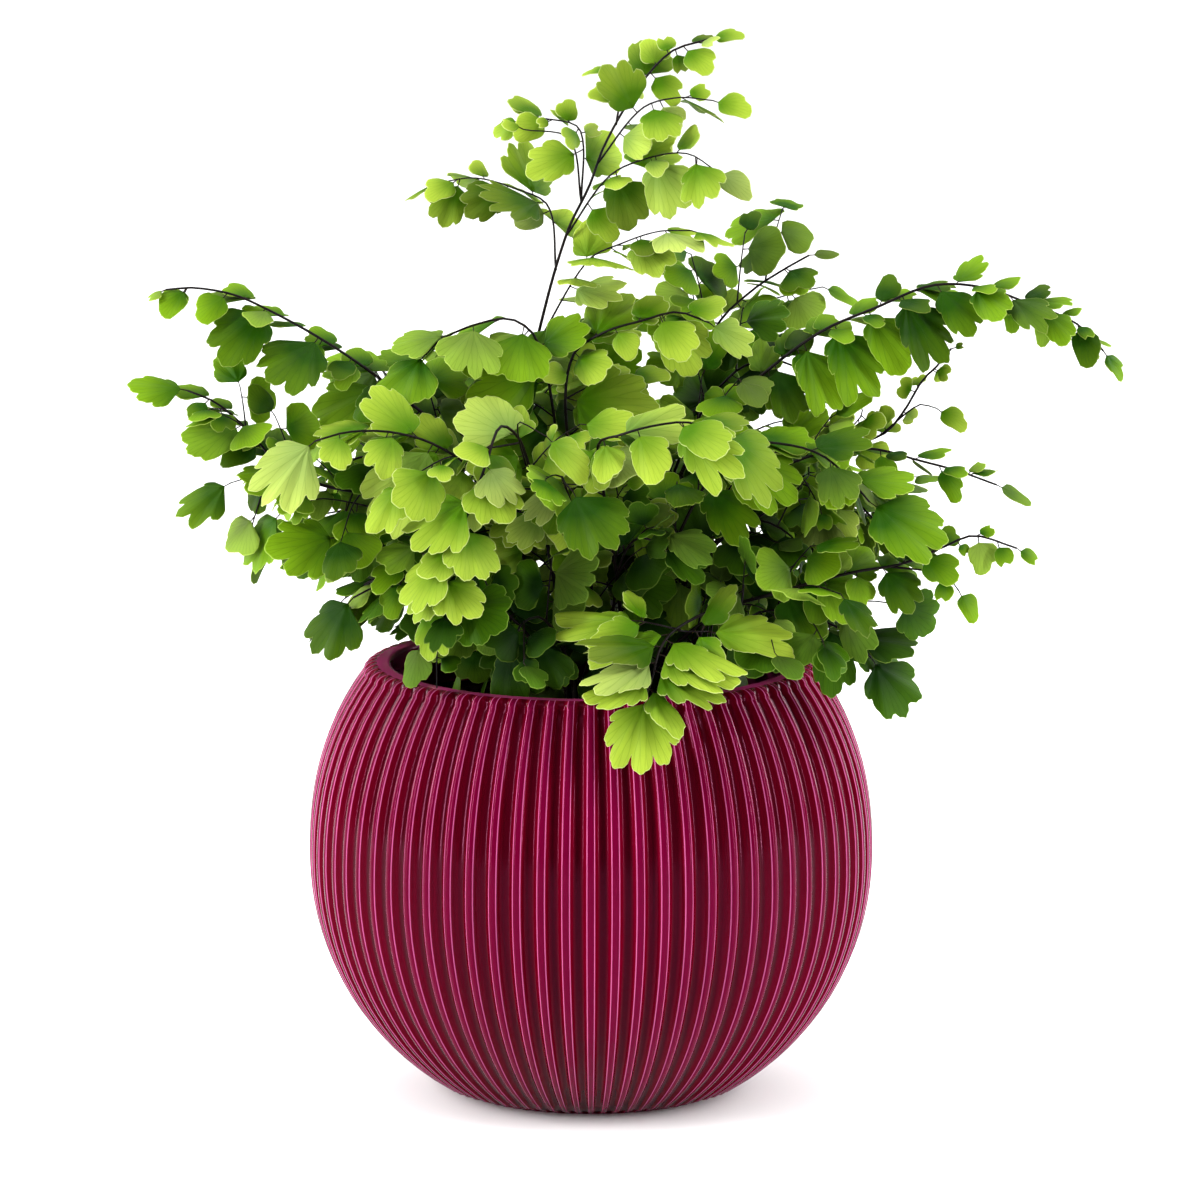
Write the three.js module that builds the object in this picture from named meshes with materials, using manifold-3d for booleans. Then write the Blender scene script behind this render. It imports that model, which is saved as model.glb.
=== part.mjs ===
// A maidenhair fern in a ribbed ceramic pot.
//
// Millimetres, +Z up. The origin is the middle of the pot's underside, and -Y is the plant's front.
// The pot and the soil are turned shapes. Each frond is one solid: a stem, its side stalks, and
// leaflets that a rule places along them from the list of their lengths in FRONDS.

import * as THREE from 'three';
import { mergeVertices } from 'three/addons/utils/BufferGeometryUtils.js';
import Module from 'manifold-3d';

const wasm = await Module();
wasm.setup();

// Pot
const POT_RADIUS = 80;
const POT_HEIGHT = 123;
const POT_WIDEST_AT = 68.75;
const POT_UPPER_REACH = 80.4;
const POT_UPPER_POWER = 2.2;
const POT_LOWER_REACH = 78.5;
const POT_LOWER_POWER = 2.03;
const MOUTH_RADIUS = 56.4;
const RIM_FLAT_RADIUS = 60.4;
const RIM_DROP = 2;
const RIM_SPREAD = 1.7;
const LIP_DROP = 4;
const FOOT_INSET = 1.6;
const WALL = 5.5;
const FLOOR = 6;
const FLOOR_CORNER = 4;
const MOUTH_SIDES = 32;
const RIBS = 72;
const RIB_DEPTH = 1.7;
const RIB_DEPTH_AT_RIM = 1;
const RIB_SHARE_AT_FOOT = 0.5;
const RIB_FULL_ABOVE = 20;
const OUTSIDE_RING_HEIGHTS = [2.2, 15, 38, POT_WIDEST_AT, 96, 113];
const INSIDE_RING_HEIGHTS = [110, 90, 66, 40, 18];

// Soil
const SOIL_TOP = 107;
const SOIL_GAP = 0.3;
const SOIL_EDGE_GAP = 0.9;
const HOLE_RADIUS = 1.6;
const HOLE_DEPTH = 9;
const HOLE_SIDES = 4;

// Stems
const STEM_RADIUS = 0.9;
const STEM_TIP_RADIUS = 0.6;
const STALK_RADIUS = 0.62;
const STALK_TIP_RADIUS = 0.52;
const STEM_SINK = 8;
const STEM_SIDES = 3;

// Points this close to a flat face or a straight edge are left out of a joined frond.
const MERGE_WITHIN = 0.05;

// Leaflets
const BLADE = 0.62;
const NECK_HALF_WIDTH = 0.5;
const NECK_SINK = 0.25;
const NECK_END = 1.8;
const NECK_SHARE = 0.065;
const NECK_LEAST = 0.9;
const LENGTHEN = 1.3;
const SHORTEST = 11.6;
const THREE_LOBES_FROM = 14;
const FOUR_LOBES_FROM = 21.5;
const OUTER_LOBE_AT = 0.05;
const NOTCH = 0.11;
const CUP = 0.14;
const RIPPLE = 0.05;
const DROOP = 0.1;
const SIDE_ANGLE = 70;
const FORWARD = 0.35;
const SAG = 0.45;
const SPREAD_NOISE = 0.08;
const FORM_NOISE = 0.5;
const NOTCH_NOISE = 0.35;
const SWING_NOISE = 8;
const SPRAY_NOISE = 0.45;
const FACE_NOISE = 0.13;

// Long one-sided leaflets lie close side by side, so they stand more alike than broad ones.
const ORDERLY = 0.8;

// Each leaflet is rolled a little, so that its edge towards the stalk's tip lies over the next one.
const SHINGLE = 0.32;

// A fan opens evenly to both sides. A wing is long, and narrower on the one side than on the other.
const FAN = { from: -74, to: 74, narrow: 1, wide: 1 };
const WING = { from: -50, to: 66, narrow: 0.14, wide: 0.34 };

// The leaflet at the tip of a stalk is a broad fan if it is long, and a slim one if it is short.
const BROAD_TIP_FROM = 18.5;
const BROAD_TIP_WING = 0.2;
const SLIM_TIP_WING = 0.45;

// How clear a leaflet keeps of the other fronds' leaflets, of its own frond's, of stems and of the pot.
const LEAF_GAP = 1.3;
const OWN_GAP = 0.85;
const STEM_GAP = 0.5;
const POT_GAP = 1.2;
const OWN_STALK = 2;
const SAMPLE_STEP = 2.3;

// Heights in FRONDS are as seen from the front by an eye that looks down by this angle, so that a
// point nearer to the eye by some depth is higher in truth by that depth times the tangent.
const EYE_TILT = THREE.MathUtils.degToRad(10.2);

// What a leaflet tries, in turn, until it clears its neighbours: it lifts out of its plane, swings
// in it and shrinks. Degrees, degrees and a share of its length.
const TRIES = [
  [0, 0, 1], [14, 0, 1], [-14, 0, 1], [0, 16, 1], [0, -16, 1], [26, 10, 1], [-26, -10, 1],
  [0, 0, 0.8], [18, 0, 0.8], [-18, 0, 0.8], [36, 12, 0.8], [-36, -12, 0.8], [0, 24, 0.8],
  [0, -24, 0.8], [20, 0, 0.62], [-20, 0, 0.62], [44, 14, 0.62], [-44, -14, 0.62],
];

const COLOURS = {
  pot: 0x8c0a3c,
  soil: 0x1c1510,
  light: 0xa2c244,
  mid: 0x71a022,
  dark: 0x3c6c14,
};

// Every frond, from the front of the plant to its back. root is its place on the soil, and path
// goes on from there as [x, y, seen height]. leaves are lengths along the last part of the path,
// from bare onwards: on its right-hand side with a plus, on its left-hand side with a minus, and the
// last one at the tip. A spray is a side stalk with leaves of its own. wing makes the leaflets
// longer and one-sided, and tip does so for the last one. face is the way that they look, and sag is
// how far they hang.
const FRONDS = [
  {
    name: 'frond_front_drooping', root: [17, -12], tone: 'light', wing: 0.9, face: [0, -0.85, 0.68],
    sag: 0.15,
    path: [
      [26, -26, 124], [34, -42, 137], [30, -53, 136], [22, -61.5, 131], [18.6, -67, 125.5],
      [17.2, -71, 119.5], [15.2, -74, 113.5],
    ],
    bare: 0.8,
    leaves: [20, -21, 20, -20, 19, -18, 17, -14, 17],
    sprays: [
      { from: 0.77, path: [[17, -62.5, 133.8], [13.4, -61, 134.5]], bare: 0.85, tip: 0.85,
        leaves: [-14, 13, 21] },
      { from: 0.77, path: [[26, -62, 131.6], [32, -61.5, 131.6]], bare: 0.7, tip: 0.7,
        leaves: [13, -14, 20] },
    ],
  },
  {
    name: 'frond_front_left', root: [-5, -14], tone: 'light', wing: 0.15, face: [-0.1, -0.75, 0.65],
    path: [
      [-11, -26, 150], [-19, -40, 184], [-25, -50, 189], [-29, -57, 178], [-34, -62, 164], [-39, -64, 152],
      [-43, -62, 139],
    ],
    bare: 0.52,
    leaves: [17, -13, 15, -19, 15, -13, 17, -13, 16, 12, 13],
    sprays: [
      { from: 0.6, path: [[-40, -60, 180], [-52, -60, 173]], bare: 0.3, leaves: [-13, 11, -13, 13] },
      { from: 0.5, path: [[-20, -56, 190], [-12, -57, 186]], bare: 0.5, leaves: [13, 13] },
    ],
  },
  {
    name: 'frond_front_right', root: [9, -12], tone: 'light', wing: 0.45, face: [0.05, -0.75, 0.72],
    path: [
      [8, -24, 140], [4, -38, 168], [2, -50, 184], [8, -58, 186.5], [17, -60, 189], [27, -59, 190],
      [36, -56, 187],
    ],
    bare: 0.66,
    leaves: [9, -14, 11, -17, 13, -20, 19, -13, 19],
  },
  {
    name: 'frond_right_big', root: [12, -9], tone: 'mid', wing: 0.35, face: [0.2, -0.75, 0.87],
    path: [
      [18, -18, 140], [30, -30, 170], [43, -38, 184], [55, -44, 184], [64, -47, 181], [71, -49, 175],
      [77, -50, 168],
    ],
    bare: 0.6,
    leaves: [16, -14, 18, -15, 15, -18, 12, -15, 19],
  },
  {
    name: 'frond_left_bright', root: [-9, -9], tone: 'light', wing: 0.4, face: [-0.1, -0.75, 0.8],
    path: [
      [-18, -20, 150], [-31, -34, 175], [-43, -44, 184], [-55, -49, 187.5], [-67, -51, 187.5],
      [-76, -52, 185],
    ],
    bare: 0.62,
    leaves: [11, -12, 12, -22, 14, -8, 15, -14, 18],
  },
  {
    name: 'frond_middle', root: [1, -9], tone: 'mid', wing: 0.1, face: [0.1, -0.75, 0.43],
    path: [[0, -22, 145], [-5, -36, 166], [-8, -46, 175], [-7, -53, 173], [-5, -58, 171]],
    bare: 0.6,
    leaves: [-15, 12, -13, 17],
  },
  {
    name: 'frond_low_right', root: [9, -19], tone: 'mid', wing: 0.3, face: [0.3, -0.75, 0.58],
    path: [
      [22, -28, 126], [38, -36, 138], [52, -42, 142.5], [62, -45, 145.5], [74, -47, 148.5], [86, -47, 150.5],
      [97, -47, 155], [106, -47, 158.5], [118, -46, 155],
    ],
    bare: 0.42,
    leaves: [11, -10, 12, 14, -13, 11, -12, 13, 12, -11, 13, -7, 8, 9, 6, 6],
    sprays: [
      { from: 0.74, path: [[98, -48, 147.5], [102, -48, 143]], bare: 0.75, leaves: [6, 8] },
    ],
  },
  {
    name: 'frond_low_right_hanging', root: [14, -16], tone: 'dark', wing: 0.5, face: [0.3, -0.75, 0.51],
    path: [[26, -24, 120], [42, -32, 131], [56, -38, 135], [66, -41, 134], [73, -43, 129], [78, -44, 124]],
    bare: 0.6,
    leaves: [11, 10, -12, 16, -15, 15],
    sprays: [
      { from: 0.62, path: [[76, -46, 140], [86, -48, 139]], bare: 0.6, leaves: [17, 20] },
    ],
  },
  {
    name: 'frond_low_left', root: [-9, -18], tone: 'dark', wing: 0.4, face: [-0.3, -0.75, 0.58],
    path: [[-20, -28, 128], [-34, -37, 142], [-48, -42, 146.5], [-59, -44, 144.5], [-66, -45, 141]],
    bare: 0.55,
    leaves: [-12, 9, -14, 9, -14, 9, 15],
    sprays: [
      { from: 0.52, path: [[-58, -43, 155], [-70, -46, 158]], bare: 0.4, leaves: [-10, -10, 7, 16] },
    ],
  },
  {
    name: 'frond_low_inner_left', root: [-5, -22], tone: 'dark', wing: 0.1, face: [-0.1, -0.75, 0.51],
    path: [[-12, -30, 122], [-24, -40, 137], [-35, -48, 140], [-43, -51, 134], [-47, -52, 128]],
    bare: 0.5,
    leaves: [-12, 11, -12, 11, 9, 10],
  },
  {
    name: 'frond_low_inner', root: [0, -24], tone: 'dark', wing: 0, face: [0, -0.75, 0.58],
    path: [[-6, -32, 122], [-13, -40, 135], [-19, -46, 134], [-22, -49, 127]],
    bare: 0.55,
    leaves: [12, -12, 12, 14],
  },
  {
    name: 'frond_low_inner_right', root: [14, -22], tone: 'dark', wing: 0.1, face: [0.1, -0.75, 0.43],
    path: [[23, -31, 121], [35, -37, 128], [47, -41, 137], [57, -43, 137]],
    bare: 0.4,
    leaves: [12, -13, 12, -11, 12, -11, 11],
  },
  {
    name: 'frond_centre_left', root: [-4, 2], tone: 'mid', wing: 0.15, face: [-0.1, -0.68, 0.87],
    path: [
      [-6, -2, 150], [-10, -8, 190], [-15, -13, 214], [-22, -17, 220], [-32, -20, 218.5], [-42, -22, 214],
      [-46, -23, 210],
    ],
    bare: 0.55,
    leaves: [-16, -16, 19, -19, 12, -19, 18, -15, 13, 15],
  },
  {
    name: 'frond_upper_left', root: [-12, 3], tone: 'mid', wing: 0.3, face: [-0.1, -0.45, 0.9],
    sag: 0.32,
    path: [
      [-22, -4, 150], [-38, -12, 184], [-55, -18, 200], [-67, -22, 209], [-78, -25, 216], [-89, -27, 222],
      [-99, -28, 226.5], [-110, -28, 228.5], [-118, -28, 228],
    ],
    bare: 0.46,
    leaves: [-12, 9, -16, 11, -10, 8, -20, 9, -8, 9, -18, 10, 12, -16, 9, -9, 7, -4, 5],
  },
  {
    name: 'frond_left', root: [-13, -4], tone: 'mid', wing: 0.35, face: [-0.15, -0.45, 0.9],
    sag: 0.32,
    path: [
      [-25, -12, 140], [-43, -22, 162], [-62, -29, 170], [-77, -32, 173.5], [-87, -33, 179], [-95, -33, 188],
      [-104, -33, 196], [-112, -33, 199.5],
    ],
    bare: 0.66,
    leaves: [8, -9, 10, -15, 11, -5, -15, 7, 10, 13],
    sprays: [
      { from: 0.62, path: [[-90, -35, 176], [-100, -36, 173.5]], bare: 0.3, leaves: [8, -7, 9, 14] },
      { from: 0.48, path: [[-74, -38, 169], [-86, -40, 165]], bare: 0.2, leaves: [-16, 12, -16, 12, 15] },
    ],
  },
  {
    name: 'frond_centre_right', root: [3, -3], tone: 'light', wing: 0.3, face: [0, -0.75, 0.72],
    path: [
      [-1, -6, 150], [-7, -10, 192], [-5, -13, 210], [4, -16, 216.5], [14, -18, 219.5], [24, -19, 222],
      [33, -19, 219],
    ],
    bare: 0.56,
    leaves: [9, -12, 20, -9, 11, -17, 8, -13, 15, -10, 12],
  },
  {
    name: 'frond_tall', root: [-9, 8], tone: 'light', wing: 0.3, face: [0.12, -0.55, 0.85],
    sag: 0.25,
    path: [
      [-14, 7, 140], [-19, 6, 172], [-18, 6, 200], [-13, 6, 224], [-6.5, 6, 246], [-0.5, 5, 258.5],
      [4, 5, 270.5], [13, 5, 286], [22.5, 5, 296.5], [33, 5, 300],
    ],
    bare: 0.9,
    leaves: [-13, 9, -9, 10, -6, 9, 9, -6, 7, 8],
    sprays: [
      { from: 0.525, path: [[-1, 0, 237], [9, -6, 242], [19, -12, 245], [28, -17, 245]], bare: 0.1,
        leaves: [14, -15, 12, 18, -14, 9, 15, -11] },
      { from: 0.625, path: [[-12, 10, 253], [-22, 14, 258.5], [-33, 18, 261.5], [-44, 21, 260]], bare: 0.25,
        leaves: [15, -18, 13, -7, 12, -9, 8] },
      { from: 0.672, path: [[5, 1, 261], [16, -4, 266], [27, -9, 267], [35, -12, 262]], bare: 0.2,
        leaves: [10, -11, 16, -12, 14, -10, 13, 10] },
      { from: 0.72, path: [[-3, 9, 274.5], [-12, 14, 278], [-20, 18, 278]], bare: 0.3,
        leaves: [14, -6, -12, 7, -11, 8, 8] },
      { from: 0.72, path: [[-6, 8, 272], [-19, 13, 275]], bare: 0.8, leaves: [7] },
      { from: 0.775, path: [[14, 1, 280], [24, -4, 283], [34, -8, 282]], bare: 0.25,
        leaves: [14, -13, 13, -6, 9] },
      { from: 0.83, path: [[9, 8, 291.5], [5, 10, 292]], bare: 0.4, leaves: [-7, 6, -7] },
    ],
  },
  {
    name: 'frond_right_arching', root: [12, 3], tone: 'mid', wing: 0.5, face: [0.1, -0.45, 0.9],
    sag: 0.3,
    path: [
      [17, 0, 150], [26, -4, 178], [37, -8, 194], [51, -11, 207], [65, -14, 217], [80, -16, 223.5],
      [95, -18, 229.5], [109, -19, 229], [123, -20, 224], [135, -20, 219], [143, -20, 211],
    ],
    bare: 0.52,
    leaves: [
      -12, 14, -10, 17, -9, 19, -10, 16, -11, 18, -12, 14, -14, 13, -9, 15, -12, 11, -8, 10, -6, 8,
    ],
  },
  {
    name: 'frond_right_slim', root: [17, 0], tone: 'mid', wing: 0.6, face: [0.1, -0.35, 0.95],
    sag: 0.15,
    path: [
      [30, -8, 155], [50, -18, 176], [68, -25, 183], [80, -28, 183], [91, -30, 180], [102, -31, 177],
      [113, -31, 173],
    ],
    bare: 0.55,
    leaves: [-12, 9, -13, 9, -10, 8, -10, 8, -8, 9],
  },
  {
    name: 'frond_right_young', root: [18, 6], tone: 'light', wing: 0, face: [0, -0.75, 0.29],
    path: [
      [34, 2, 155], [54, -3, 175], [72, -6, 184], [82.5, -7, 188], [88, -8, 194.5], [93, -8, 203],
      [97, -9, 207], [101, -9, 212],
    ],
    bare: 0.6,
    leaves: [12, -13, -7, 7, -6, 5, -5, 4, 3],
    sprays: [
      { from: 0.79, path: [[92, -9, 196], [97, -10, 195]], bare: 0.5, leaves: [-7, 8] },
      { from: 0.62, path: [[76, -8, 193], [74, -9, 199]], bare: 0.35, leaves: [6, -5, 6, 6] },
    ],
  },
  {
    name: 'frond_right_inner', root: [15, -3], tone: 'dark', wing: 0.2, face: [0.1, -0.75, 0.43],
    path: [[24, -14, 140], [34, -24, 155], [45, -31, 163], [54, -33, 160], [60, -34, 153]],
    bare: 0.4,
    leaves: [12, -12, 13, -12, 14, -11, 13, 12],
  },
  {
    name: 'frond_centre_inner', root: [4, -14], tone: 'dark', wing: 0, face: [0.1, -0.75, 0.43],
    path: [[6, -24, 134], [8, -34, 150], [13, -40, 158], [20, -43, 156]],
    bare: 0.4,
    leaves: [13, -13, 13, -12, 12],
  },
  {
    name: 'frond_left_inner', root: [-14, -12], tone: 'dark', wing: 0.1, face: [-0.2, -0.75, 0.58],
    path: [[-24, -20, 138], [-37, -28, 154], [-51, -33, 161], [-62, -35, 161], [-71, -36, 158]],
    bare: 0.45,
    leaves: [11, -13, 11, -14, 12, -13, 12],
  },
  {
    name: 'frond_left_back', root: [-9, 12], tone: 'dark', wing: 0.1, face: [-0.2, -0.68, 1.01],
    path: [[-20, 9, 155], [-34, 4, 184], [-46, -1, 197], [-56, -4, 201], [-64, -6, 200]],
    bare: 0.5,
    leaves: [12, -13, 11, -12, 10, -11, 10],
  },
  {
    name: 'frond_right_back', root: [11, 9], tone: 'dark', wing: 0.1, face: [0.1, -0.68, 0.87],
    path: [[20, 7, 165], [30, 4, 192], [41, 1, 206], [51, -1, 209], [60, -2, 206]],
    bare: 0.5,
    leaves: [12, -12, 13, -12, 12, -9, 12],
  },
  {
    name: 'frond_back_right_tall', root: [8, 14], tone: 'mid', wing: 0, face: [0.3, -0.45, 1.16],
    path: [[18, 20, 160], [28, 25, 200], [36, 28, 220], [46, 30, 230], [55, 31, 236], [62, 32, 240]],
    bare: 0.55,
    leaves: [13, -13, 12, -11, 11, -9, 9, -8, 8, 7],
    sprays: [
      { from: 0.6, path: [[46, 32, 224], [57, 34, 229], [66, 35, 231]], bare: 0.2,
        leaves: [11, -10, 10, -9, 9, 9] },
    ],
  },
  {
    name: 'frond_side_right', root: [22, -4], tone: 'mid', wing: 0.15, face: [1, -0.15, 0.72],
    path: [[34, -2, 140], [50, 0, 166], [62, 2, 173], [74, 3, 169], [84, 4, 159]],
    bare: 0.35,
    leaves: [12, -13, 14, -15, 15, -13, 13, -11, 12],
  },
  {
    name: 'frond_side_left', root: [-20, -1], tone: 'mid', wing: 0.15, face: [-1, -0.15, 0.72],
    path: [[-33, 0, 140], [-48, 2, 170], [-58, 3, 181], [-69, 3, 180], [-79, 2, 171]],
    bare: 0.35,
    leaves: [-12, 13, -14, 15, -15, 13, -13, 11, 12],
  },
  {
    name: 'frond_side_low_right', root: [21, 8], tone: 'dark', wing: 0.15, face: [0.9, 0.08, 0.87],
    path: [[34, 13, 130], [50, 17, 144], [62, 20, 146], [72, 22, 140]],
    bare: 0.35,
    leaves: [12, -12, 14, -14, 14, -12, 13],
  },
  {
    name: 'frond_side_low_left', root: [-20, 6], tone: 'dark', wing: 0.15, face: [-0.9, 0.08, 0.87],
    path: [[-33, 10, 130], [-48, 14, 145], [-60, 17, 147], [-70, 19, 141]],
    bare: 0.35,
    leaves: [-12, 12, -14, 14, -14, 12, 13],
  },
  {
    name: 'frond_back_left_high', root: [-6, 17], tone: 'mid', wing: 0.1, face: [-0.3, 0.68, 1.01],
    path: [[-14, 30, 165], [-27, 45, 200], [-40, 57, 206], [-52, 66, 200]],
    bare: 0.3,
    leaves: [12, -13, 15, -15, 16, -14, 14, -12, 13],
  },
  {
    name: 'frond_back_high', root: [2, 20], tone: 'mid', wing: 0.1, face: [0, 0.75, 0.87],
    path: [[2, 36, 170], [-1, 52, 204], [-4, 68, 212], [-8, 82, 203]],
    bare: 0.3,
    leaves: [13, -14, 15, -16, 16, -14, 14, -12, 14],
  },
  {
    name: 'frond_back_right_high', root: [11, 19], tone: 'mid', wing: 0.1, face: [0.4, 0.75, 0.87],
    path: [[20, 36, 160], [34, 54, 188], [46, 68, 190], [56, 78, 182]],
    bare: 0.3,
    leaves: [12, -14, 15, -15, 16, -14, 14, -12, 13],
  },
  {
    name: 'frond_back_right_side', root: [18, 13], tone: 'mid', wing: 0.2, face: [0.7, 0.52, 0.87],
    path: [[36, 24, 145], [56, 34, 164], [74, 41, 168], [88, 46, 163]],
    bare: 0.3,
    leaves: [12, -13, 14, -15, 15, -13, 13, -11, 12],
  },
  {
    name: 'frond_back_left_side', root: [-16, 13], tone: 'mid', wing: 0.2, face: [-0.7, 0.52, 0.87],
    path: [[-34, 24, 145], [-53, 34, 164], [-69, 41, 167], [-80, 46, 161]],
    bare: 0.3,
    leaves: [12, -13, 14, -15, 15, -13, 13, -11, 12],
  },
  {
    name: 'frond_back_low_left', root: [-9, 24], tone: 'dark', wing: 0.2, face: [-0.4, 0.75, 0.72],
    path: [[-22, 40, 132], [-37, 56, 148], [-48, 68, 150], [-55, 76, 144]],
    bare: 0.35,
    leaves: [12, -12, 14, -14, 14, -12, 13],
  },
  {
    name: 'frond_back_low', root: [3, 27], tone: 'dark', wing: 0.2, face: [0, 0.75, 0.72],
    path: [[4, 44, 134], [5, 62, 150], [6, 76, 152], [7, 86, 145]],
    bare: 0.35,
    leaves: [12, -12, 14, -14, 14, -12, 13],
  },
  {
    name: 'frond_back_low_right', root: [14, 25], tone: 'dark', wing: 0.2, face: [0.5, 0.75, 0.72],
    path: [[28, 40, 132], [44, 54, 146], [58, 64, 148], [68, 71, 142]],
    bare: 0.35,
    leaves: [12, -12, 14, -14, 14, -12, 13],
  },
];

// A repeatable random draw in [-1, 1), from a whole number.
function drawsFrom(seed) {
  let state = seed >>> 0;
  return () => {
    state = (state + 0x6d2b79f5) >>> 0;
    let mixed = Math.imul(state ^ (state >>> 15), state | 1);
    mixed ^= mixed + Math.imul(mixed ^ (mixed >>> 7), mixed | 61);
    return (((mixed ^ (mixed >>> 14)) >>> 0) / 4294967296) * 2 - 1;
  };
}

// A closed mesh, from its points and triangles, as a solid that can be joined and cut.
function solidOf(points, triangles) {
  return new wasm.Manifold(new wasm.Mesh({
    numProp: 3,
    vertProperties: new Float32Array(points.flatMap((point) => [point.x, point.y, point.z])),
    triVerts: new Uint32Array(triangles.flat()),
  }));
}

function solidOfGeometry(geometry) {
  geometry.deleteAttribute('normal');
  geometry.deleteAttribute('uv');
  const merged = mergeVertices(geometry);
  return new wasm.Manifold(new wasm.Mesh({
    numProp: 3,
    vertProperties: merged.attributes.position.array,
    triVerts: new Uint32Array(merged.index.array),
  }));
}

function geometryOf(solid) {
  const mesh = solid.getMesh();
  const geometry = new THREE.BufferGeometry();
  geometry.setAttribute('position', new THREE.BufferAttribute(mesh.vertProperties, 3));
  geometry.setIndex(new THREE.BufferAttribute(mesh.triVerts, 1));
  geometry.computeVertexNormals();
  return geometry;
}

// The pot's outer radius at a height, over the tops of its ribs.
function potRadiusAt(z) {
  const above = z > POT_WIDEST_AT;
  const reach = above ? POT_UPPER_REACH : POT_LOWER_REACH;
  const power = above ? POT_UPPER_POWER : POT_LOWER_POWER;
  const share = Math.min(Math.abs(z - POT_WIDEST_AT) / reach, 1);
  return POT_RADIUS * (1 - share ** power) ** (1 / power);
}

// The rings of the pot's outside, from the underside up to the rim: [height, radius, rib depth].
// The ribs grow out of the foot and fade over the shoulder of the rim.
function potOutside() {
  const rings = [[0, potRadiusAt(0) - FOOT_INSET, 0]];
  OUTSIDE_RING_HEIGHTS.forEach((z) => {
    const grown = THREE.MathUtils.lerp(RIB_SHARE_AT_FOOT, 1, Math.min(z / RIB_FULL_ABOVE, 1));
    rings.push([z, potRadiusAt(z), RIB_DEPTH * grown]);
  });
  rings.push([POT_HEIGHT - RIM_DROP, RIM_FLAT_RADIUS + RIM_SPREAD, RIB_DEPTH_AT_RIM]);
  rings.push([POT_HEIGHT, RIM_FLAT_RADIUS, 0]);
  return rings;
}

// The pot's inside below its lip, from the top down to the floor, as [radius, height].
function potInside() {
  const walls = INSIDE_RING_HEIGHTS.map((z) => [potRadiusAt(z) - WALL, z]);
  return [...walls, [potRadiusAt(FLOOR) - WALL - FLOOR_CORNER, FLOOR]];
}

// A ribbed ring holds a ridge and a groove for each rib.
function ribbedRing(z, radius, depth) {
  return Array.from({ length: 2 * RIBS }, (_, i) => {
    const angle = (i * Math.PI) / RIBS;
    const reach = radius - (i % 2) * depth;
    return new THREE.Vector3(reach * Math.cos(angle), reach * Math.sin(angle), z);
  });
}

// The solid inside a stack of rings, closed by a flat fan at each end.
function stackedSolid(rings) {
  const sides = rings[0].length;
  const points = rings.flat();
  const triangles = [];
  for (let ring = 0; ring + 1 < rings.length; ring += 1) {
    for (let i = 0; i < sides; i += 1) {
      const low = ring * sides + i;
      const next = ring * sides + ((i + 1) % sides);
      triangles.push([low, next, next + sides], [low, next + sides, low + sides]);
    }
  }
  const top = points.length - sides;
  const middleLow = points.push(new THREE.Vector3(0, 0, points[0].z)) - 1;
  const middleHigh = points.push(new THREE.Vector3(0, 0, points[top].z)) - 1;
  for (let i = 0; i < sides; i += 1) {
    const next = (i + 1) % sides;
    triangles.push([middleLow, next, i], [middleHigh, top + i, top + next]);
  }
  return solidOf(points, triangles);
}

// What a profile of [radius, height] sweeps round the axis.
function turnedSolid(profile, sides) {
  const outline = profile.map(([radius, z]) => new THREE.Vector2(radius, z));
  const turned = new THREE.LatheGeometry(outline, sides);
  turned.rotateX(Math.PI / 2);
  return solidOfGeometry(turned);
}

function makePot() {
  const outside = stackedSolid(potOutside().map(([z, radius, depth]) => ribbedRing(z, radius, depth)));
  const above = 2 * POT_HEIGHT;
  const lip = [[0, above], [MOUTH_RADIUS, above], [MOUTH_RADIUS, POT_HEIGHT - LIP_DROP]];
  const hollow = [...lip, ...potInside(), [0, FLOOR]];
  return outside.subtract(turnedSolid(hollow.reverse(), MOUTH_SIDES));
}

// The soil fills the pot's inside up to its own height, less a small gap, and has a plain hole
// round each stem.
function makeSoil(roots) {
  const walls = potInside().filter(([, z]) => z < SOIL_TOP).map(([radius, z]) => [radius - SOIL_GAP, z]);
  const floor = FLOOR + SOIL_GAP;
  walls[walls.length - 1][1] = floor;
  const edge = potRadiusAt(SOIL_TOP) - WALL - SOIL_EDGE_GAP;
  const profile = [[0, SOIL_TOP], [edge, SOIL_TOP], ...walls, [0, floor]];
  const body = turnedSolid(profile.reverse(), MOUTH_SIDES);
  const holes = roots.map(([x, y]) => {
    const hole = new THREE.CylinderGeometry(HOLE_RADIUS, HOLE_RADIUS, 2 * HOLE_DEPTH, HOLE_SIDES);
    hole.rotateX(Math.PI / 2);
    hole.translate(x, y, SOIL_TOP);
    return solidOfGeometry(hole);
  });
  return body.subtract(wasm.Manifold.union(holes));
}

// A point given as [x, y, seen height].
function placed([x, y, seen]) {
  return new THREE.Vector3(x, y, seen - y * Math.tan(EYE_TILT));
}

// A stem as the points that it runs through, its radii there, and how far along each point lies.
function makeStem(knots, rootRadius, tipRadius) {
  const reached = [0];
  for (let i = 1; i < knots.length; i += 1) {
    reached.push(reached[i - 1] + knots[i].distanceTo(knots[i - 1]));
  }
  const length = reached[reached.length - 1];
  const radii = reached.map((far) => rootRadius + (tipRadius - rootRadius) * (far / length));
  return { points: knots, radii, reached, length };
}

// The place, direction and radius of a stem at a share of its length.
function along(stem, share) {
  const far = share * stem.length;
  let i = 0;
  while (i + 2 < stem.points.length && stem.reached[i + 1] < far) i += 1;
  const step = (far - stem.reached[i]) / (stem.reached[i + 1] - stem.reached[i]);
  const place = stem.points[i].clone().lerp(stem.points[i + 1], step);
  const heading = stem.points[i + 1].clone().sub(stem.points[i]).normalize();
  return { place, heading, radius: stem.radii[i] };
}

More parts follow.
